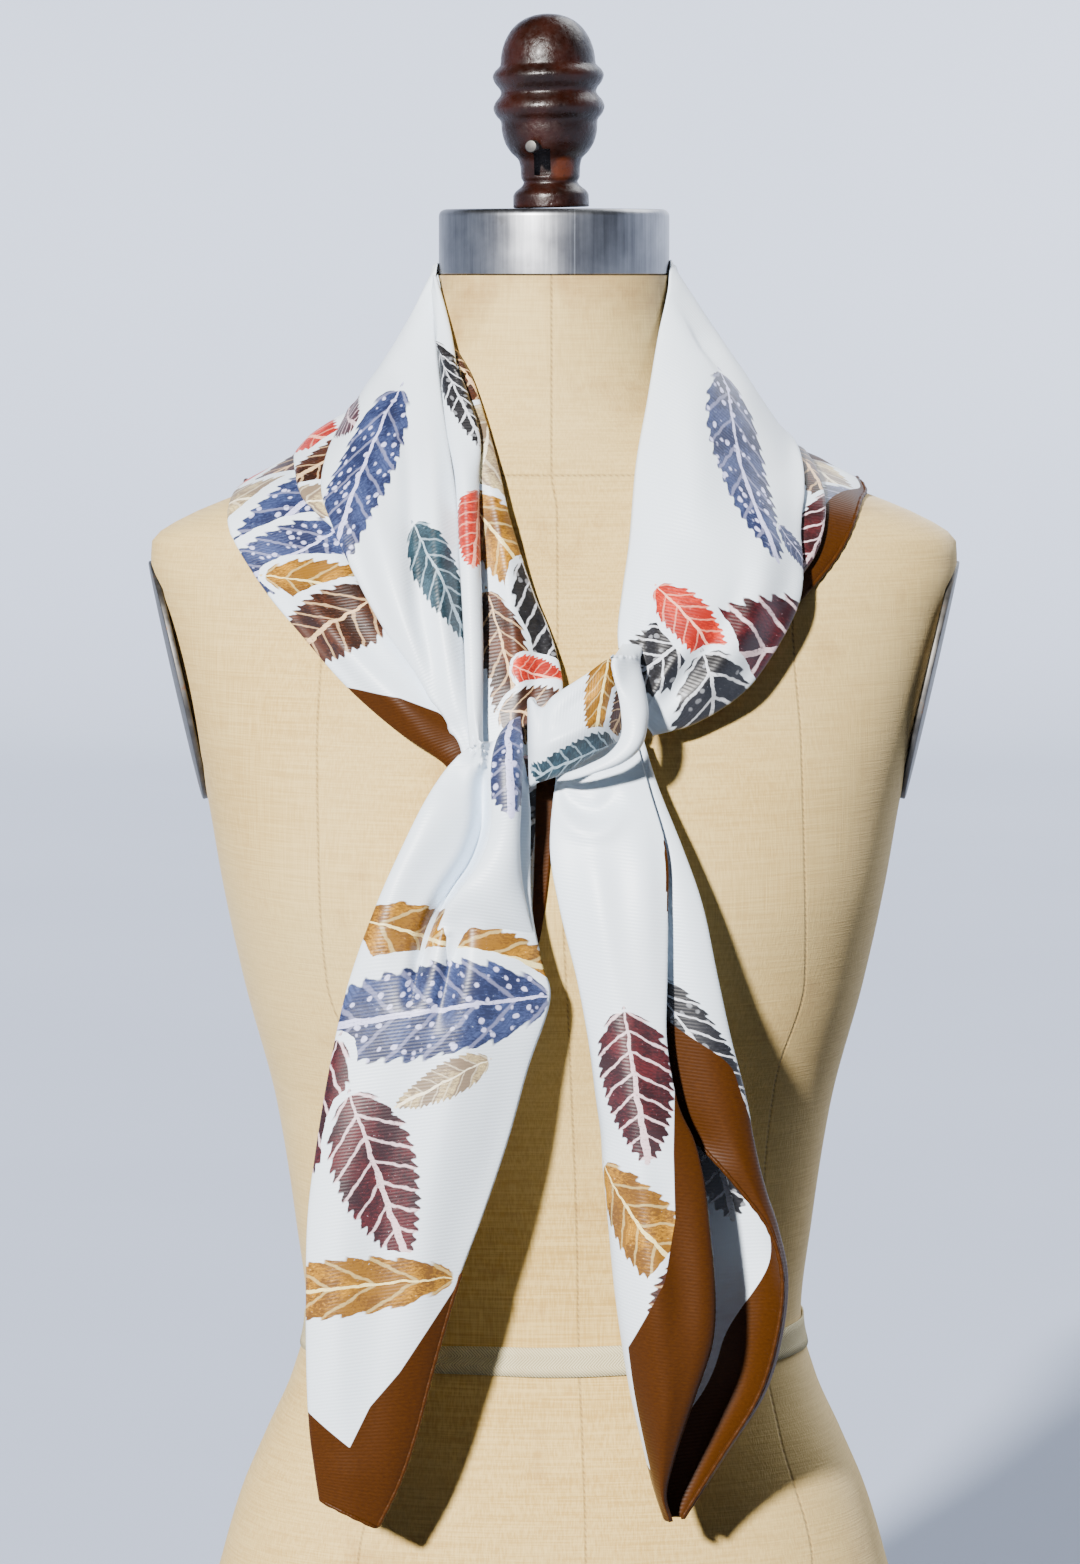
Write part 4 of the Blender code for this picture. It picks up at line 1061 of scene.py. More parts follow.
def set_border(piece, values):
    """Distance from the border's inner line in metres; the border is where it is negative."""
    layer = piece.data.attributes.new("border", "FLOAT", "POINT")
    layer.data.foreach_set("value", np.asarray(values, np.float32).ravel())


def from_line(grid, line):
    """Signed distance in metres of each point from a line of x and z seen from the front;
    negative on the right of the line's run."""
    line = np.asarray(line, float) * MM
    x, z = grid[..., 0], grid[..., 2]
    best, signed = np.full(x.shape, 1e9), np.full(x.shape, 1.0)
    for start, end in zip(line, line[1:]):
        t, away, across = beside_run(x, z, start, end)
        # at a corner both runs are equally near: the one met more squarely decides
        score = away - 0.001 * np.abs(across)
        signed = np.where(score < best, np.sign(across) * away, signed)
        best = np.minimum(best, score)
    return signed


# %% The hand-rolled hem
HEM_RADIUS, HEM_PLUMP = 0.95, 0.13  # and how much it swells between its stitches
HEM_SIDES = 8
HEM_STEP = 1.3               # millimetres from ring to ring
STITCH = 6.0                 # millimetres between the stitches that pinch the roll


def rolled_hem(name, path):
    """A thin tube along an edge of the sheet, plump between its stitches."""
    places = along_line(path)
    count = max(12, int(places[-1] / (HEM_STEP * MM)))
    even = np.linspace(0.0, places[-1], count)
    path = read_line(path, places, even)
    for turn in range(3):
        path[1:-1] = (path[:-2] + 2 * path[1:-1] + path[2:]) / 4
    tangent = unit(np.gradient(path, axis=0))
    out = outward(path)
    side = unit(np.cross(tangent, out))
    up = np.cross(side, tangent)
    plump = 1 + HEM_PLUMP * np.sin(2 * math.pi * even / (STITCH * MM))
    # the roll tapers at its two ends
    taper = np.minimum(1.0, np.minimum(even, even[::-1]) / (1.2 * MM) + 0.25)
    radius = HEM_RADIUS * MM * plump * taper
    ring = [2 * math.pi * k / HEM_SIDES for k in range(HEM_SIDES)]
    points = [path[i] + (side[i] * math.cos(a) + up[i] * math.sin(a)) * radius[i]
              for i in range(count) for a in ring]
    hem = add_mesh(name, points, ring_faces(count, HEM_SIDES, capped=True))
    turn_outside_out(hem)
    set_layout(hem, HEM_RADIUS * MM * np.tile(ring, count), np.repeat(even, HEM_SIDES), (3.0, 0.0))
    set_border(hem, np.full(len(points), -1.0))
    finish_part(hem, silk)
    return hem


def turn_outside_out(piece):
    """Makes the faces of a closed piece point outwards."""
    bm = bmesh.new()
    bm.from_mesh(piece.data)
    bmesh.ops.recalc_face_normals(bm, faces=bm.faces)
    bm.to_mesh(piece.data)
    bm.free()


# %% Thickness and facts of a sheet
def finish_cloth(piece, u, v, replaced, at):
    """Thickness, finish and the facts of one stretch of cloth."""
    set_layout(piece, u, v, at)
    thicken(piece, SILK_THICK)
    finish_part(piece, silk, replaced)
    lay_down(piece)


# %% Laying one stretch
TIGHTEST = 0.6               # the smallest radius that an edge is folded to
PUCKERS = (60.0, 16.0)       # how many a metre the cloth's own puckers are, across and along


def lay(name, table, replaced, stations, across, at, back_left=0.0, back_right=0.0, folds=(),
        border=None, hems=(), room=LOOSE,
        radius=FOLD_RADIUS, uneven=0.5, sink=None, end_sink=None, turns=60):
    """One stretch of cloth from its table: two edges and how proud the middle stands.
    hems name the edges with a rolled hem: which, from and to in shares of the length.
    sink and end_sink say how its start and end go in under other cloth: share and depth."""
    rows = through_rows(table, stations)
    left, right, proud = rows[:, 0:3] * MM, rows[:, 3:6] * MM, rows[:, 6] * MM
    out = outward((left + right) / 2)
    side = unit(right - left)
    width = np.linalg.norm(right - left, axis=1)
    bend = np.minimum(radius * MM, np.maximum(TIGHTEST * MM, 0.2 * width))
    inset = (bend + SILK_THICK / 2 * MM)[:, None]
    left = left + side * inset * (back_left > 0)
    right = right - side * inset * (back_right > 0)
    out = unit(out - side * np.sum(out * side, axis=1, keepdims=True))
    s, t = np.linspace(0.0, 1.0, across), np.linspace(0.0, 1.0, stations)
    grid = left[:, None] * (1 - s)[None, :, None] + right[:, None] * s[None, :, None]
    high = proud[:, None] * ((4 * s * (1 - s)) ** 0.8)[None, :] + fold_height(grid, folds)
    length = along_line((left + right) / 2)[-1]
    for i in range(stations):
        for j in range(across):
            spot = Vector((s[j] * width[i] * PUCKERS[0], t[i] * length * PUCKERS[1], len(name)))
            high[i, j] += noise.noise(spot) * uneven * MM
    grid = grid + out[:, None] * high[..., None]
    folded = [back_left > 0, back_right > 0]
    share = np.maximum(folded[0] * (1 - ramp(s, 0.4, 0.7)), folded[1] * ramp(s, 0.3, 0.6))
    clear = (room + 2 * radius * share) * MM
    dive = np.zeros(stations)
    if sink:
        dive += (1 - ramp(t, 0.0, sink[0])) * sink[1] * MM
    if end_sink:
        dive += ramp(t, 1.0 - end_sink[0], 1.0) * end_sink[1] * MM
    grid = settle(grid, clear, turns, dive[:, None])
    full = fold_edges(grid, bend, back_left, back_right)
    piece, u, v = sheet_piece(name, full)
    set_border(piece, np.ones(u.shape) if border is None else border(full, u, v))
    for edge, low, high_end in hems:
        part = slice(int(low * stations), int(math.ceil(high_end * stations)))
        path = {"left": full[part, 0], "right": full[part, -1], "end": full[-1]}[edge]
        rolled_hem(name.replace("silk_", "hem_") + "_" + edge, path)
    finish_cloth(piece, u, v, replaced, at)


# the band as a plain drum, for the cloth to lie against
drum = [(0.5, 0.0), (BAND_RADIUS, 0.0), (BAND_RADIUS, BAND_HEIGHT), (0.5, BAND_HEIGHT)]
neck_form = turned("neck_form", np.array(drum) * MM, 96)
neck_form.data.transform(shift(0.0, NECK_CENTRE_Y, NECK_TOP))
lay_down(torso)
lay_down(neck_form)
bpy.data.objects.remove(neck_form)

# %% [markdown]
# ## The collar
# Seen from the front, the collar is five layers on the left and three on the right. Each is a
# table of its edges, in millimetres: left edge x, y, z, right edge x, y, z, and how proud.

# %% Tables of the left side
LEFT_INNER = [
    (-49, -8, 690, -47, -12, 690, 0),
    (-48, -20, 668, -43, -28, 669, 0),
    (-43, -36, 654, -35, -41, 655, 0),
    (-38, -52, 638, -28, -54, 637, 1),
    (-35, -66, 616, -22, -67, 616, 1),
    (-33, -75, 595, -17, -76, 595, 2),
    (-31, -84, 570, -9, -84, 570, 3),
    (-34, -94, 546, 0, -96, 546, 4),
    (-34, -104, 522, 4, -108, 527, 4),
    (-34, -112, 504, 0, -112, 506, 3),
    (-31, -115, 493, -2, -115, 496, 2),
]
LEFT_OUTER = [
    (-134, -1.8, 604, -89, -1.8, 627, 3),
    (-136, -24, 597, -84, -24, 614, 4),
    (-132, -50, 582, -77, -55, 594, 4),
    (-121, -72, 566, -65, -78, 571, 5),
    (-106, -88, 549, -55, -95, 546, 5),
    (-87, -100, 528, -45, -106, 527, 5),
    (-66, -108, 510, -37, -110, 512, 3),
    (-47, -113, 497, -31, -113, 503, 2),
    (-40, -113, 487, -29, -113, 490, 1),
]
LEFT_FOLD = [
    (-107, -1.8, 624, -75, -1.8, 642, 3),
    (-111, -15, 616, -74, -15, 634, 4),
    (-107, -34, 607, -73, -38, 620, 3),
    (-99, -56, 597, -72, -60, 602, 2),
    (-84, -78, 584, -70, -80, 586, 1),
]
LEFT_PANEL = [
    (-79, -1.8, 643, -50, -1.8, 701, 0),
    (-87, -12, 634, -51, -8, 689, 2),
    (-95, -34, 621, -50, -20, 669, 4),
    (-98, -58, 607, -47, -42, 644, 5),
    (-92, -78, 591, -43, -64, 622, 6),
    (-83, -91, 573, -39, -81, 595, 7),
    (-71, -102, 551, -38, -95, 567, 7),
    (-57, -111, 532, -36, -106, 539, 5),
    (-41, -117, 507, -31, -117, 507, 2),
    (-36, -118, 493, -29, -118, 493, 1),
]
LEFT_ROLL = [
    (-51, -8, 696, -49, -12, 696, 1),
    (-51, -18, 682, -46, -24, 682, 1),
    (-48, -36, 656, -37, -44, 655, 3),
    (-45, -58, 632, -30, -62, 631, 4),
    (-41, -74, 611, -30, -76, 610, 5),
    (-39, -90, 579, -29, -90, 579, 5),
    (-37, -104, 547, -28, -105, 547, 4),
    (-35, -118, 509, -28, -118, 511, 3),
    (-33, -119, 495, -27, -119, 496, 1),
]
# %% Tables of the right side
RIGHT_OUTER = [
    (96, -1.8, 619, 131, -1.8, 608, 3),
    (98, -15, 613, 132, -15, 602, 3),
    (97, -38, 600, 124, -38, 592, 4),
    (97, -58, 584, 115, -58, 576, 3),
    (86, -78, 560, 98, -78, 558, 2),
]
RIGHT_UNDER = [
    (91, -1.8, 624, 107, -1.8, 616, 2),
    (92, -19, 616, 110, -17, 609, 3),
    (92, -42, 599, 110, -40, 593, 3),
    (92, -62, 582, 108, -60, 578, 3),
    (82, -82, 560, 94, -81, 560, 2),
]
RIGHT_PANEL = [
    (49, -1.8, 702, 101, -1.8, 621, 1),
    (48, -14, 689, 103, -20, 616, 5),
    (44, -27, 671, 103, -46, 604, 8),
    (39, -48, 644, 103, -66, 589, 10),
    (34, -66, 618, 104, -78, 575, 12),
    (31, -82, 587, 102, -88, 561, 13),
    (28, -94, 567, 93, -98, 544, 13),
    (26, -104, 551, 79, -108, 526, 11),
    (27, -112, 538, 59, -114, 513, 7),
    (29, -117, 524, 41, -118, 508, 3),
]
# %% Folds of the collar
BEHIND = 14.0                # how far behind the shoulder ridge the front stretches start


def from_behind(table):
    """A table with one more station, behind the ridge of the shoulder."""
    x0, y0, z0, x1, y1, z1, proud = table[0]
    return [(x0, BEHIND, z0 - 3.0, x1, BEHIND, z1 - 3.0, proud)] + table


DIVE, SHORT_DIVE = (0.09, 5.0), (0.12, 5.0)  # share of the length, and depth in millimetres
LEFT_BORDER = [(-86.1, 527.5), (-79.9, 526.6), (-63.5, 523.8), (-47.1, 517.6), (-38.0, 508.1),
               (-32.7, 497.8)]
INNER_FOLDS = [
    (4, 4, [(-42, 655, 0), (-33, 635, 1.5), (-24, 600, 2), (-18, 565, 2.5), (-14, 530, 2)]),
    (3, 5, [(-8, 572, 0), (-6, 550, -2), (-8, 530, -2.5), (-12, 512, -1)]),
]
OUTER_FOLDS = [
    (5, 7, [(-118, 590, 0), (-100, 560, 2.2), (-78, 533, 2.6), (-56, 512, 1.6), (-45, 503, 0)]),
    (4, 5, [(-128, 586, 0), (-112, 562, -1.5), (-90, 538, -1.8), (-68, 518, -0.6)]),
    (6, 6, [(-100, 600, 0), (-90, 580, 2), (-75, 555, 1.5), (-58, 530, 0)]),
]
PANEL_FOLDS = [
    (5, 6, [(-62, 672, 0), (-63, 643, -2.2), (-60, 616, -3.2), (-58, 583, -3.8), (-55, 554, -4.0),
            (-49, 530, -3.4), (-44, 514, -2.0), (-41, 506, 0)]),
    (5, 5, [(-53, 640, 0), (-51, 610, 2.2), (-49, 575, 3.0), (-46, 545, 3.0), (-41, 518, 1.6)]),
    (6, 7, [(-80, 625, 0), (-76, 600, 2.4), (-69, 570, 3.2), (-60, 545, 3.0), (-49, 520, 1.6)]),
    (3, 4, [(-88, 606, 0), (-82, 585, -1.6), (-72, 560, -2.0), (-58, 535, -1.4), (-46, 514, 0)]),
    (9, 9, [(-70, 655, 0), (-74, 640, 2.0), (-80, 622, 1.5), (-86, 610, 0)]),
]
RIGHT_FOLDS = [
    (3.5, 5, [(50, 690, 0), (57, 675, -2.4), (61, 666, -3.6), (66, 655, -2.2), (72, 640, 0)]),
    (8, 10, [(52, 660, 0), (56, 640, 2.4), (58, 610, 2.4), (54, 585, 0)]),
    (7, 7, [(92, 612, 0), (90, 590, 2.6), (82, 560, 2.8), (66, 535, 2.2), (50, 520, 1), (42, 514, 0)]),
    (5, 6, [(80, 575, 0), (72, 555, -2.2), (60, 538, -3.2), (48, 526, -3), (40, 518, -1.5)]),
    (6, 4, [(45, 585, 0), (40, 566, -1.8), (37, 550, -3), (36, 536, -3), (35, 524, -1.5)]),
    (4, 5, [(62, 556, 0), (53, 543, 2), (45, 532, 2.6), (38, 522, 1.4)]),
    (5, 4, [(98, 582, 0), (94, 560, -2), (80, 534, -2.4), (62, 518, -1.6), (48, 512, 0)]),
]

# %% Lay the left side
lay("silk_left_inner", LEFT_INNER, ["collar_left_inner"], back_right=8, stations=110, across=30,
    folds=INNER_FOLDS, at=(0.0, 0.1), uneven=0.9)
lay("silk_left_outer", from_behind(LEFT_OUTER), ["collar_left_outer"], back_left=16, stations=120,
    across=40, folds=OUTER_FOLDS, at=(0.2, 0.1), border=lambda g, u, v: from_line(g, LEFT_BORDER),
    sink=DIVE, uneven=0.9)
lay("silk_left_fold", from_behind(LEFT_FOLD), ["collar_left_fold"], back_left=10, stations=60,
    across=28, at=(0.4, 0.1), sink=SHORT_DIVE)
lay("silk_left_panel", from_behind(LEFT_PANEL), ["collar_left_panel"], back_left=14, stations=140,
    across=52, folds=PANEL_FOLDS, at=(0.6, 0.1), sink=DIVE, turns=40)
lay("silk_left_roll", LEFT_ROLL, ["collar_left_roll"], back_right=4, stations=120, across=24,
    at=(0.8, 0.1), uneven=0.4, turns=40)

# %% Lay the right side
lay("silk_right_outer", from_behind(RIGHT_OUTER), ["collar_right_outer"], stations=60, across=30,
    at=(1.0, 0.1), sink=SHORT_DIVE, hems=[("right", 0.15, 1.0)],
    border=lambda g, u, v: u.max(axis=1, keepdims=True) - u - 0.003 - 0.011 * ramp(v, 0.03, 0.07))
lay("silk_right_under", from_behind(RIGHT_UNDER), ["collar_right_under"], back_right=6,
    stations=60, across=24, at=(1.2, 0.1), sink=SHORT_DIVE)
lay("silk_right_panel", from_behind(RIGHT_PANEL), ["collar_right_panel"], back_right=18,
    stations=150, across=64, folds=RIGHT_FOLDS, at=(1.4, 0.1), sink=DIVE, turns=40)

# %% [markdown]
# ## The back of the collar
# Behind, the folded square is a triangle: a soft roll round the neck, shallow swags between the
# shoulders, and two layers whose points don't quite meet, each with its own rolled hem.

# %% Lines of the back
# each line runs from neck to hem, and they go round from shoulder to shoulder
BACK_LINES = [
    [(-49, 4, 699), (-53, 4, 678), (-66, 4, 653), (-91, 4, 627), (-133, 4, 607)],
    [(-47, 20, 700), (-56, 28, 673), (-74, 36, 643), (-100, 42, 618), (-132, 44, 601)],
    [(-38, 40, 701), (-52, 58, 666), (-77, 76, 624), (-104, 86, 580), (-122, 84, 541)],
    [(-20, 53, 702), (-28, 70, 660), (-42, 92, 604), (-60, 103, 541), (-70, 106, 482)],
    [(0, 57, 702), (0, 74, 656), (0, 97, 592), (0, 107, 513), (0, 108, 428)],
    [(20, 53, 702), (28, 70, 660), (42, 92, 605), (59, 103, 543), (69, 106, 485)],
    [(38, 40, 701), (52, 58, 666), (77, 76, 624), (103, 86, 582), (120, 84, 544)],
    [(47, 20, 700), (56, 28, 673), (74, 36, 643), (99, 42, 619), (130, 44, 602)],
    [(49, 4, 699), (53, 4, 678), (66, 4, 656), (91, 4, 630), (131, 4, 609)],
]
# soft swags across the back: how far from neck to hem, how proud, how wide above and below
# the crest, and how much the crest runs downhill
BACK_SWAGS = [
    (0.14, 5.0, 0.06, 0.03, 0.05), (0.33, 10.0, 0.09, 0.03, -0.09), (0.52, 11.0, 0.09, 0.034, 0.11),
    (0.70, 8.0, 0.08, 0.034, -0.10), (0.86, 4.0, 0.07, 0.04, 0.06),
]
BACK_ACROSS, BACK_DOWN, BACK_SAMPLES = 150, 90, 60
BACK_DIVE, BACK_TURNED = 4.0, 12.0


def back_grid(lines, low, high, count):
    """Points of the back between two shares of the way from neck to hem."""
    lines = np.array([through_rows(line, BACK_SAMPLES) for line in lines])
    grid = through_rows(lines, BACK_ACROSS) * MM
    share = np.linspace(low, high, count)
    places = np.linspace(0.0, 1.0, BACK_SAMPLES)
    grid = np.array([read_line(line, places, share) for line in grid])
    around = np.linspace(0.0, 1.0, BACK_ACROSS)[:, None]
    swag = 0.0
    for spot, tall, above, under, slope in BACK_SWAGS:
        off = share[None, :] - spot - slope * (around - 0.5)
        swag = swag + tall * np.exp(-(off / np.where(off < 0, above, under)) ** 2)
    sides = np.sin(np.pi * np.clip(around, 0.0, 1.0)) ** 0.7
    return grid + outward(grid) * (sides * swag * MM)[..., None]


def lay_back(name, grid, roll, replaced, at):
    """A layer of the back: rows go round from shoulder to shoulder, columns neck to hem."""
    around, down = grid.shape[:2]
    edge = np.minimum(np.arange(around), np.arange(around)[::-1]) / around
    dive = (1 - ramp(edge, 0.0, 0.06))[:, None] * BACK_DIVE * MM
    under_roll = (1 - ramp(np.linspace(0, 1, down), 0.1, 0.3)) * roll
    grid = settle(grid, (LOOSE + 2 * FOLD_RADIUS * under_roll) * MM, 40, dive)
    bend = FOLD_RADIUS * (0.25 + 0.75 * ramp(edge, 0.0, 0.08)) * MM
    full = fold_edges(grid, bend, BACK_TURNED * roll, 0.0)
    piece, u, v = sheet_piece(name, full)
    # towards the left shoulder the border runs out, as it turns under there
    wide = BORDER * ramp(np.arange(around) / around, 0.01, 0.15)
    set_border(piece, u.max(axis=1, keepdims=True) - u - wide[:, None])
    hem = rolled_hem(name.replace("silk_", "hem_"), full[:, -1])
    finish_cloth(piece, u, v, replaced, at)


LOWER_SHOWS = 9.0            # how far the lower layer shows below the upper one
lower = [[np.add(p, (0, 0, -LOWER_SHOWS * k / 4)) for k, p in enumerate(line)] for line in BACK_LINES]
lay_back("silk_back_lower", back_grid(lower, 0.55, 1.0, 40), False, [], (1.7, 0.1))
lay_back("silk_back", back_grid(BACK_LINES, 0.0, 1.0, BACK_DOWN), True, ["collar_back"], (2.1, 0.1))

# %% [markdown]
# ## The tails
# Both ends hang straight down from the knot. The left one is a single leaf of cloth with a
# forked crease where it leaves the knot; the right one is folded along its bias and opens
# downwards like a lily, so its border shows inside as well.

# %% Table of the left tail
# columns as in the tables of the collar
TAIL_LEFT = [
    (-37, -125, 503.5, -16, -124, 510, 1),
    (-45, -128, 496.5, -12, -128, 497, 3),
    (-54, -131, 483, -10, -132, 479, 5),
    (-64, -133, 463, -10, -133, 458, 7),
    (-73, -135, 443, -9, -135, 437, 9),
    (-81, -136, 422, -5, -135, 417, 10),
    (-87, -136, 402, -2, -135, 402, 11),
    (-93, -136, 374, -11, -135, 374, 11),
    (-98, -136, 345, -19, -135, 345, 11),
    (-102, -135, 314, -29, -135, 315, 10),
    (-103, -134, 283, -40, -135, 285, 9),
    (-103, -133, 249, -50, -134, 250, 8),
    (-102, -132, 225, -57, -134, 223, 6),
    (-100, -131, 208, -64, -133, 202, 5),
    (-98, -130, 195, -73, -132, 183, 3),
]
TAIL_LEFT_BORDER = [(-108.5, 237.7), (-102.4, 232.7), (-84.0, 217.7), (-75.7, 234.8),
                    (-63.4, 249.3), (-55.2, 261.8), (-42.0, 281.7), (-36.7, 290.8)]
TAIL_LEFT_FOLDS = [
    (15, 7, [(-27, 510, 0), (-30, 500, -4), (-29, 488, -6), (-29, 474, -7), (-35, 458, -7),
             (-44, 446, -6), (-51, 432, -5), (-56, 416, -3), (-60, 395, 0)]),
    (3.5, 2.5, [(-28, 508, 0), (-29.5, 500, -6), (-29.5, 488, -9), (-30, 474, -11), (-34.5, 460, -12),
                (-43, 447, -12), (-50, 434, -10), (-55, 418, -6), (-59, 396, 0)]),
    (3, 4.5, [(-38, 450, 0), (-40.5, 438, -5), (-41.5, 426, -7), (-44, 410, -5), (-49, 388, 0)]),
    (9, 8, [(-46, 490, 0), (-57, 468, 3), (-67, 446, 4), (-72, 423, 3), (-75, 400, 0)]),
    (8, 10, [(-30, 430, 0), (-33, 410, 3.0), (-37, 385, 3.4), (-44, 345, 2), (-52, 305, 0)]),
    (12, 12, [(-85, 400, 0), (-88, 350, 2.4), (-90, 300, 3), (-90, 250, 1.8), (-92, 215, 0)]),
    (12, 10, [(-62, 380, 0), (-68, 330, -3), (-72, 280, -3.4), (-76, 240, -2.4), (-82, 205, 0)]),
    (10, 8, [(-14, 385, 0), (-26, 340, -2.4), (-38, 300, -2.4), (-52, 260, -1), (-60, 225, 0)]),
]

# a ply behind the right edge of the left tail, in the deep gap between the tails: a little real print at
# its left, and painted shade over the rest
TAIL_INNER_PLY_AND_SHADE = [
    (-20, -117, 500, 1, -108, 500, 0),
    (-20, -121, 484, 0, -106, 484, 0),
    (-20, -123, 464, -1, -106, 464, 0),
    (-19, -123, 444, -3, -106, 443, 0),
    (-18, -123, 424, -6, -108, 423, 0),
    (-17, -123, 408, -10, -112, 408, 0),
]

# %% Lay the left tail
# brown right of its middle and dark leaves on its left: painted shade for the gap between the tails
lay("silk_tail_inner", TAIL_INNER_PLY_AND_SHADE, [], stations=70, across=20, at=(1.6, 0.6),
    turns=6, border=lambda g, u, v: 0.002 - u)
lay("silk_tail_left", TAIL_LEFT, ["tail_left"], back_left=34, stations=230,
    across=90, folds=TAIL_LEFT_FOLDS, at=(0.0, 0.6),
    uneven=1.0, border=lambda g, u, v: from_line(g, TAIL_LEFT_BORDER),
    hems=[("right", 0.70, 1.0), ("end", 0.0, 1.0)])

# %% Table of the right tail
# each row: height, then x of the fold, of the front's edge, of the right side and of the hem,
# how far the front tucks in, and y of the back and of the front
TAIL_RIGHT = [
    (507, 4, 33, 36, 29, 5, -112, -120),
    (488, 0, 38, 42, 33, 5, -118, -130),
    (463, -2, 45, 52, 39, 6, -126, -140),
    (440, 2, 45.5, 60, 39, 8, -128, -146),
    (411, 9.5, 45.5, 66, 39, 9, -128, -149),
    (386, 14, 45.5, 71.5, 41, 10, -126, -151),
    (362, 17, 49.5, 78, 48, 10, -124, -153),
    (347, 19, 56.0, 81, 56, 9, -122, -154),
    (334, 20, 59.5, 83.5, 68, 8, -121, -155),
    (322, 21, 61.5, 86.5, 78, 6, -119, -155),
    (308, 22, 63, 91, 87.5, 4, -117, -155),
    (288, 24, 64.5, 95, 92.5, 3, -115, -155),
    (264, 27.5, 63.5, 93, 90.5, 3, -114, -154),
    (239, 31.5, 56.5, 86, 83.5, 3, -113, -150),
    (215, 37, 49.5, 71.5, 69.5, 2, -116, -144),
    (198, 41.5, 46, 61, 59.5, 1.5, -120, -139),
    (186, 45.3, 48.5, 53.5, 52.6, 1, -125, -134),
]

# where the brown border starts on the front, from the tip up
TAIL_RIGHT_BORDER = [(10.0, 231.0), (26.5, 240.7), (28.5, 257.2), (36.6, 273.7), (44.7, 290.1),
                     (48.8, 314.8), (48.0, 342.0), (48.5, 372.0), (47.0, 405.0)]


def lily_section(row):
    """One level section of the right tail: the front's tucked edge, the front, the fold
    on the left, the back, the right side and the flap that turns forward from it."""
    height, fold, front_edge, right, hem, tuck, back_y, front_y = row
    depth = back_y - front_y
    small = min(1.0, (right - fold) / 40.0)
    fold_y = front_y + 0.5 * depth
    side_y = back_y - 0.4 * depth
    behind_front = front_y + 0.55 * depth
    clear_of_front = ramp(hem - front_edge, -6.0, 12.0)
    hem_y = behind_front + (side_y - 0.22 * depth * small - behind_front) * clear_of_front
    corners = [
        (front_edge - tuck, front_y + 0.30 * depth),
        (front_edge - 0.3 * tuck, front_y + 0.26 * depth),
        (front_edge, front_y + 0.12 * depth),
        (front_edge - 0.2 * (front_edge - fold), front_y + 0.02 * depth),
        (0.5 * (fold + front_edge), front_y),
        (fold + 0.12 * (front_edge - fold), front_y + 0.22 * depth),
        (fold, fold_y),
        (fold + 0.12 * (front_edge - fold), back_y - 0.14 * depth),
        (0.5 * (fold + right), back_y),
        (right - 0.14 * (right - fold), back_y - 0.08 * depth),
        (right, side_y),
        (right - 0.35 * (right - hem), side_y - 0.2 * depth * small),
        (hem, hem_y),
    ]
    return [(x, y, height) for x, y in corners]


# %% Lay the right tail
LILY_STATIONS, LILY_POINTS, LILY_UNEVEN = 200, 130, 0.8
FRONT_HEM_TOP, FLAP_HEM_TOP, TIP_TOP = 338.0, 392.0, 208.0
FRONT_FOLDS = [
    (4, 4, [(-3, 494, 0), (3, 486, -2), (9, 480.5, -3), (16, 478.5, -3), (22, 482, -2.4), (25, 490, 0)]),
    (4, 5, [(-1, 484, 0), (6, 475, 2), (14, 471, 2.6), (22, 473, 2), (28, 480, 0)]),
    (6, 6, [(14, 470, 0), (17, 450, 2), (21, 420, 2), (25, 390, 1), (28, 360, 0)]),
    (7, 6, [(33, 480, 0), (36, 455, 2), (37, 425, 1.6), (38, 395, 0)]),
    (7, 7, [(26, 400, 0), (30, 360, 2.0), (34, 320, 2.4), (38, 280, 2), (42, 240, 1), (44, 215, 0)]),
    (6, 8, [(40, 350, 0), (46, 315, -2.4), (50, 285, -2.6), (48, 255, -1.6), (46, 230, 0)]),
]
rows = through_rows(TAIL_RIGHT, LILY_STATIONS)
grid = np.array([through_rows(lily_section(row), LILY_POINTS) for row in rows]) * MM
in_front = (1 - ramp(np.linspace(0.0, 1.0, LILY_POINTS), 0.40, 0.48))[None, :]
grid[..., 1] -= fold_height(grid, FRONT_FOLDS) * in_front
for i in range(LILY_STATIONS):
    for j in range(LILY_POINTS):
        grid[i, j, 1] += noise.noise(Vector((j * 0.08, i * 0.02, 3.0))) * LILY_UNEVEN * MM
        grid[i, j, 0] += noise.noise(Vector((j * 0.05, i * 0.03, 9.0))) * LILY_UNEVEN * MM
piece, u, v = sheet_piece("silk_tail_right", grid)
height = grid[:, 0, 2:3] / MM
on_front = np.where(in_front > 0.5, from_line(grid, TAIL_RIGHT_BORDER), 1.0)
# the flap shows the border aslant: widest low down, narrow half way, gone by the knot
wide = 0.018 + 0.012 * ramp(height, 320.0, 350.0) + 0.022 * (1 - ramp(height, 255.0, 305.0))
on_flap = u.max(axis=1, keepdims=True) - u - wide * (1 - ramp(height, 372.0, 404.0))
set_border(piece, np.minimum(np.minimum(on_front, on_flap), (height - TIP_TOP) * MM))
for word, top, column in (("front", FRONT_HEM_TOP, 0), ("flap", FLAP_HEM_TOP, -1)):
    first = int(np.argmax(height < top))
    rolled_hem("hem_tail_right_" + word, grid[first:, column])
finish_cloth(piece, u, v, ["tail_right"], (0.4, 0.6))

# %% [markdown]
# ## The knot
# The right end passes once over the left: a flat band crosses from the right, and the edge of
# the right panel rolls over its corner and runs out below it. A short lobe shows under its left.

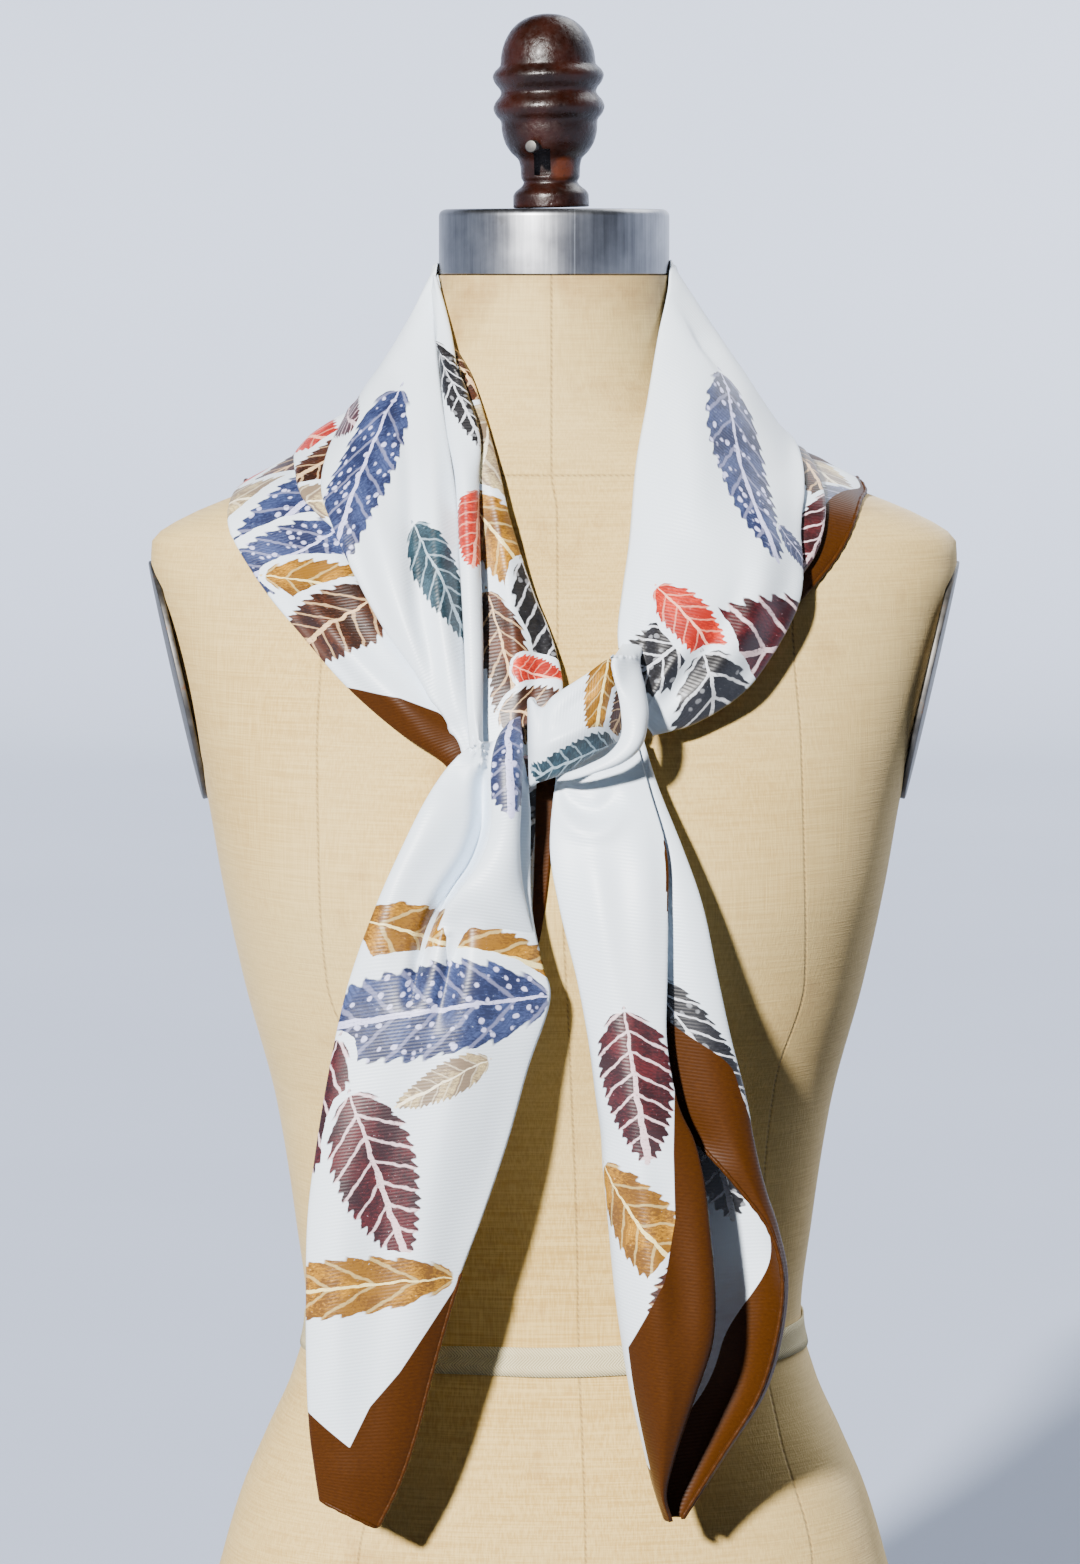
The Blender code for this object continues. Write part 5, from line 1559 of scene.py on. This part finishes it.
# %% Tables of the knot
# columns as in the tables of the collar
KNOT_WRAP = [
    (33, -120, 509, 33, -120, 541, 2),
    (22, -133, 505, 22, -131, 542, 5),
    (13, -138, 500, 13, -136, 536.5, 6),
    (5, -140, 495, 5, -138, 531.5, 6),
    (-1, -140, 492.5, -1, -138, 527.5, 6),
    (-5, -139, 491, -5, -137, 523.0, 5.5),
    (-8, -137, 490, -9, -135, 525.5, 5),
    (-10, -133, 489, -10.5, -131, 526, 4),
    (-10.5, -127, 489, -11, -125, 525, 3),
]
KNOT_ROLL = [
    (31, -106, 556, 38, -107, 555, 0),
    (27, -113, 547, 37, -114, 546, 1),
    (23.0, -123, 540, 36.0, -122, 538, 3),
    (24.0, -132, 532, 38, -129, 529, 4),
    (26.0, -141, 521, 39, -136, 518, 5),
    (26, -145, 511.5, 36, -140, 506, 5),
    (21, -146, 504.5, 28, -142, 499, 4),
    (13, -145, 500, 16, -142, 495, 3),
    (6, -142, 496.5, 7, -139, 492.5, 2),
    (1, -136, 494, 1, -134, 491.5, 1),
]
KNOT_LOBE = [
    (-20, -121, 514, -14, -120, 517, 1),
    (-24, -130, 510, -13.5, -128, 512, 3),
    (-26.5, -139, 502, -13, -134, 503, 5),
    (-27, -143, 492, -13.5, -137, 491, 6),
    (-26.5, -145, 481, -14, -139, 480, 6),
    (-27.5, -146, 470, -14.5, -139, 468, 6),
    (-32, -147, 459, -13.5, -139, 453, 6),
    (-40, -147, 448, -11, -139, 439, 5),
    (-46, -145, 438, -8, -138, 428, 4),
    (-49, -140, 428, -7, -136, 419, 2),
    (-50, -134, 418, -7, -132, 411, 0),
]
WRAP_FOLDS = [
    (3, 5, [(30, 520, 0), (20, 517, 1.6), (8, 512, 2.2), (-4, 507, 1.6), (-12, 504, 0)]),
    (4, 3, [(20, 535, 0), (14, 528, -1.6), (6, 521, -1.8), (-2, 516, 0)]),
]

# %% Lay the knot
lay("silk_knot_wrap", KNOT_WRAP, ["knot_wrap"], back_left=8, back_right=8, stations=110,
    across=60, folds=WRAP_FOLDS, at=(0.9, 0.6),
    uneven=0.3, turns=30, radius=1.3)
lay("silk_knot_lobe", KNOT_LOBE, ["knot_lobe"], back_left=5, stations=170, across=44,
    at=(0.7, 0.6), uneven=0.4, turns=20,
    end_sink=(0.34, 9.0))
lay("silk_knot_roll", KNOT_ROLL, ["knot_roll"], back_left=3, back_right=4, stations=140, across=26,
    at=(1.1, 0.6), uneven=0.2, room=0.9,
    sink=(0.24, 9.0), turns=30, radius=1.2)
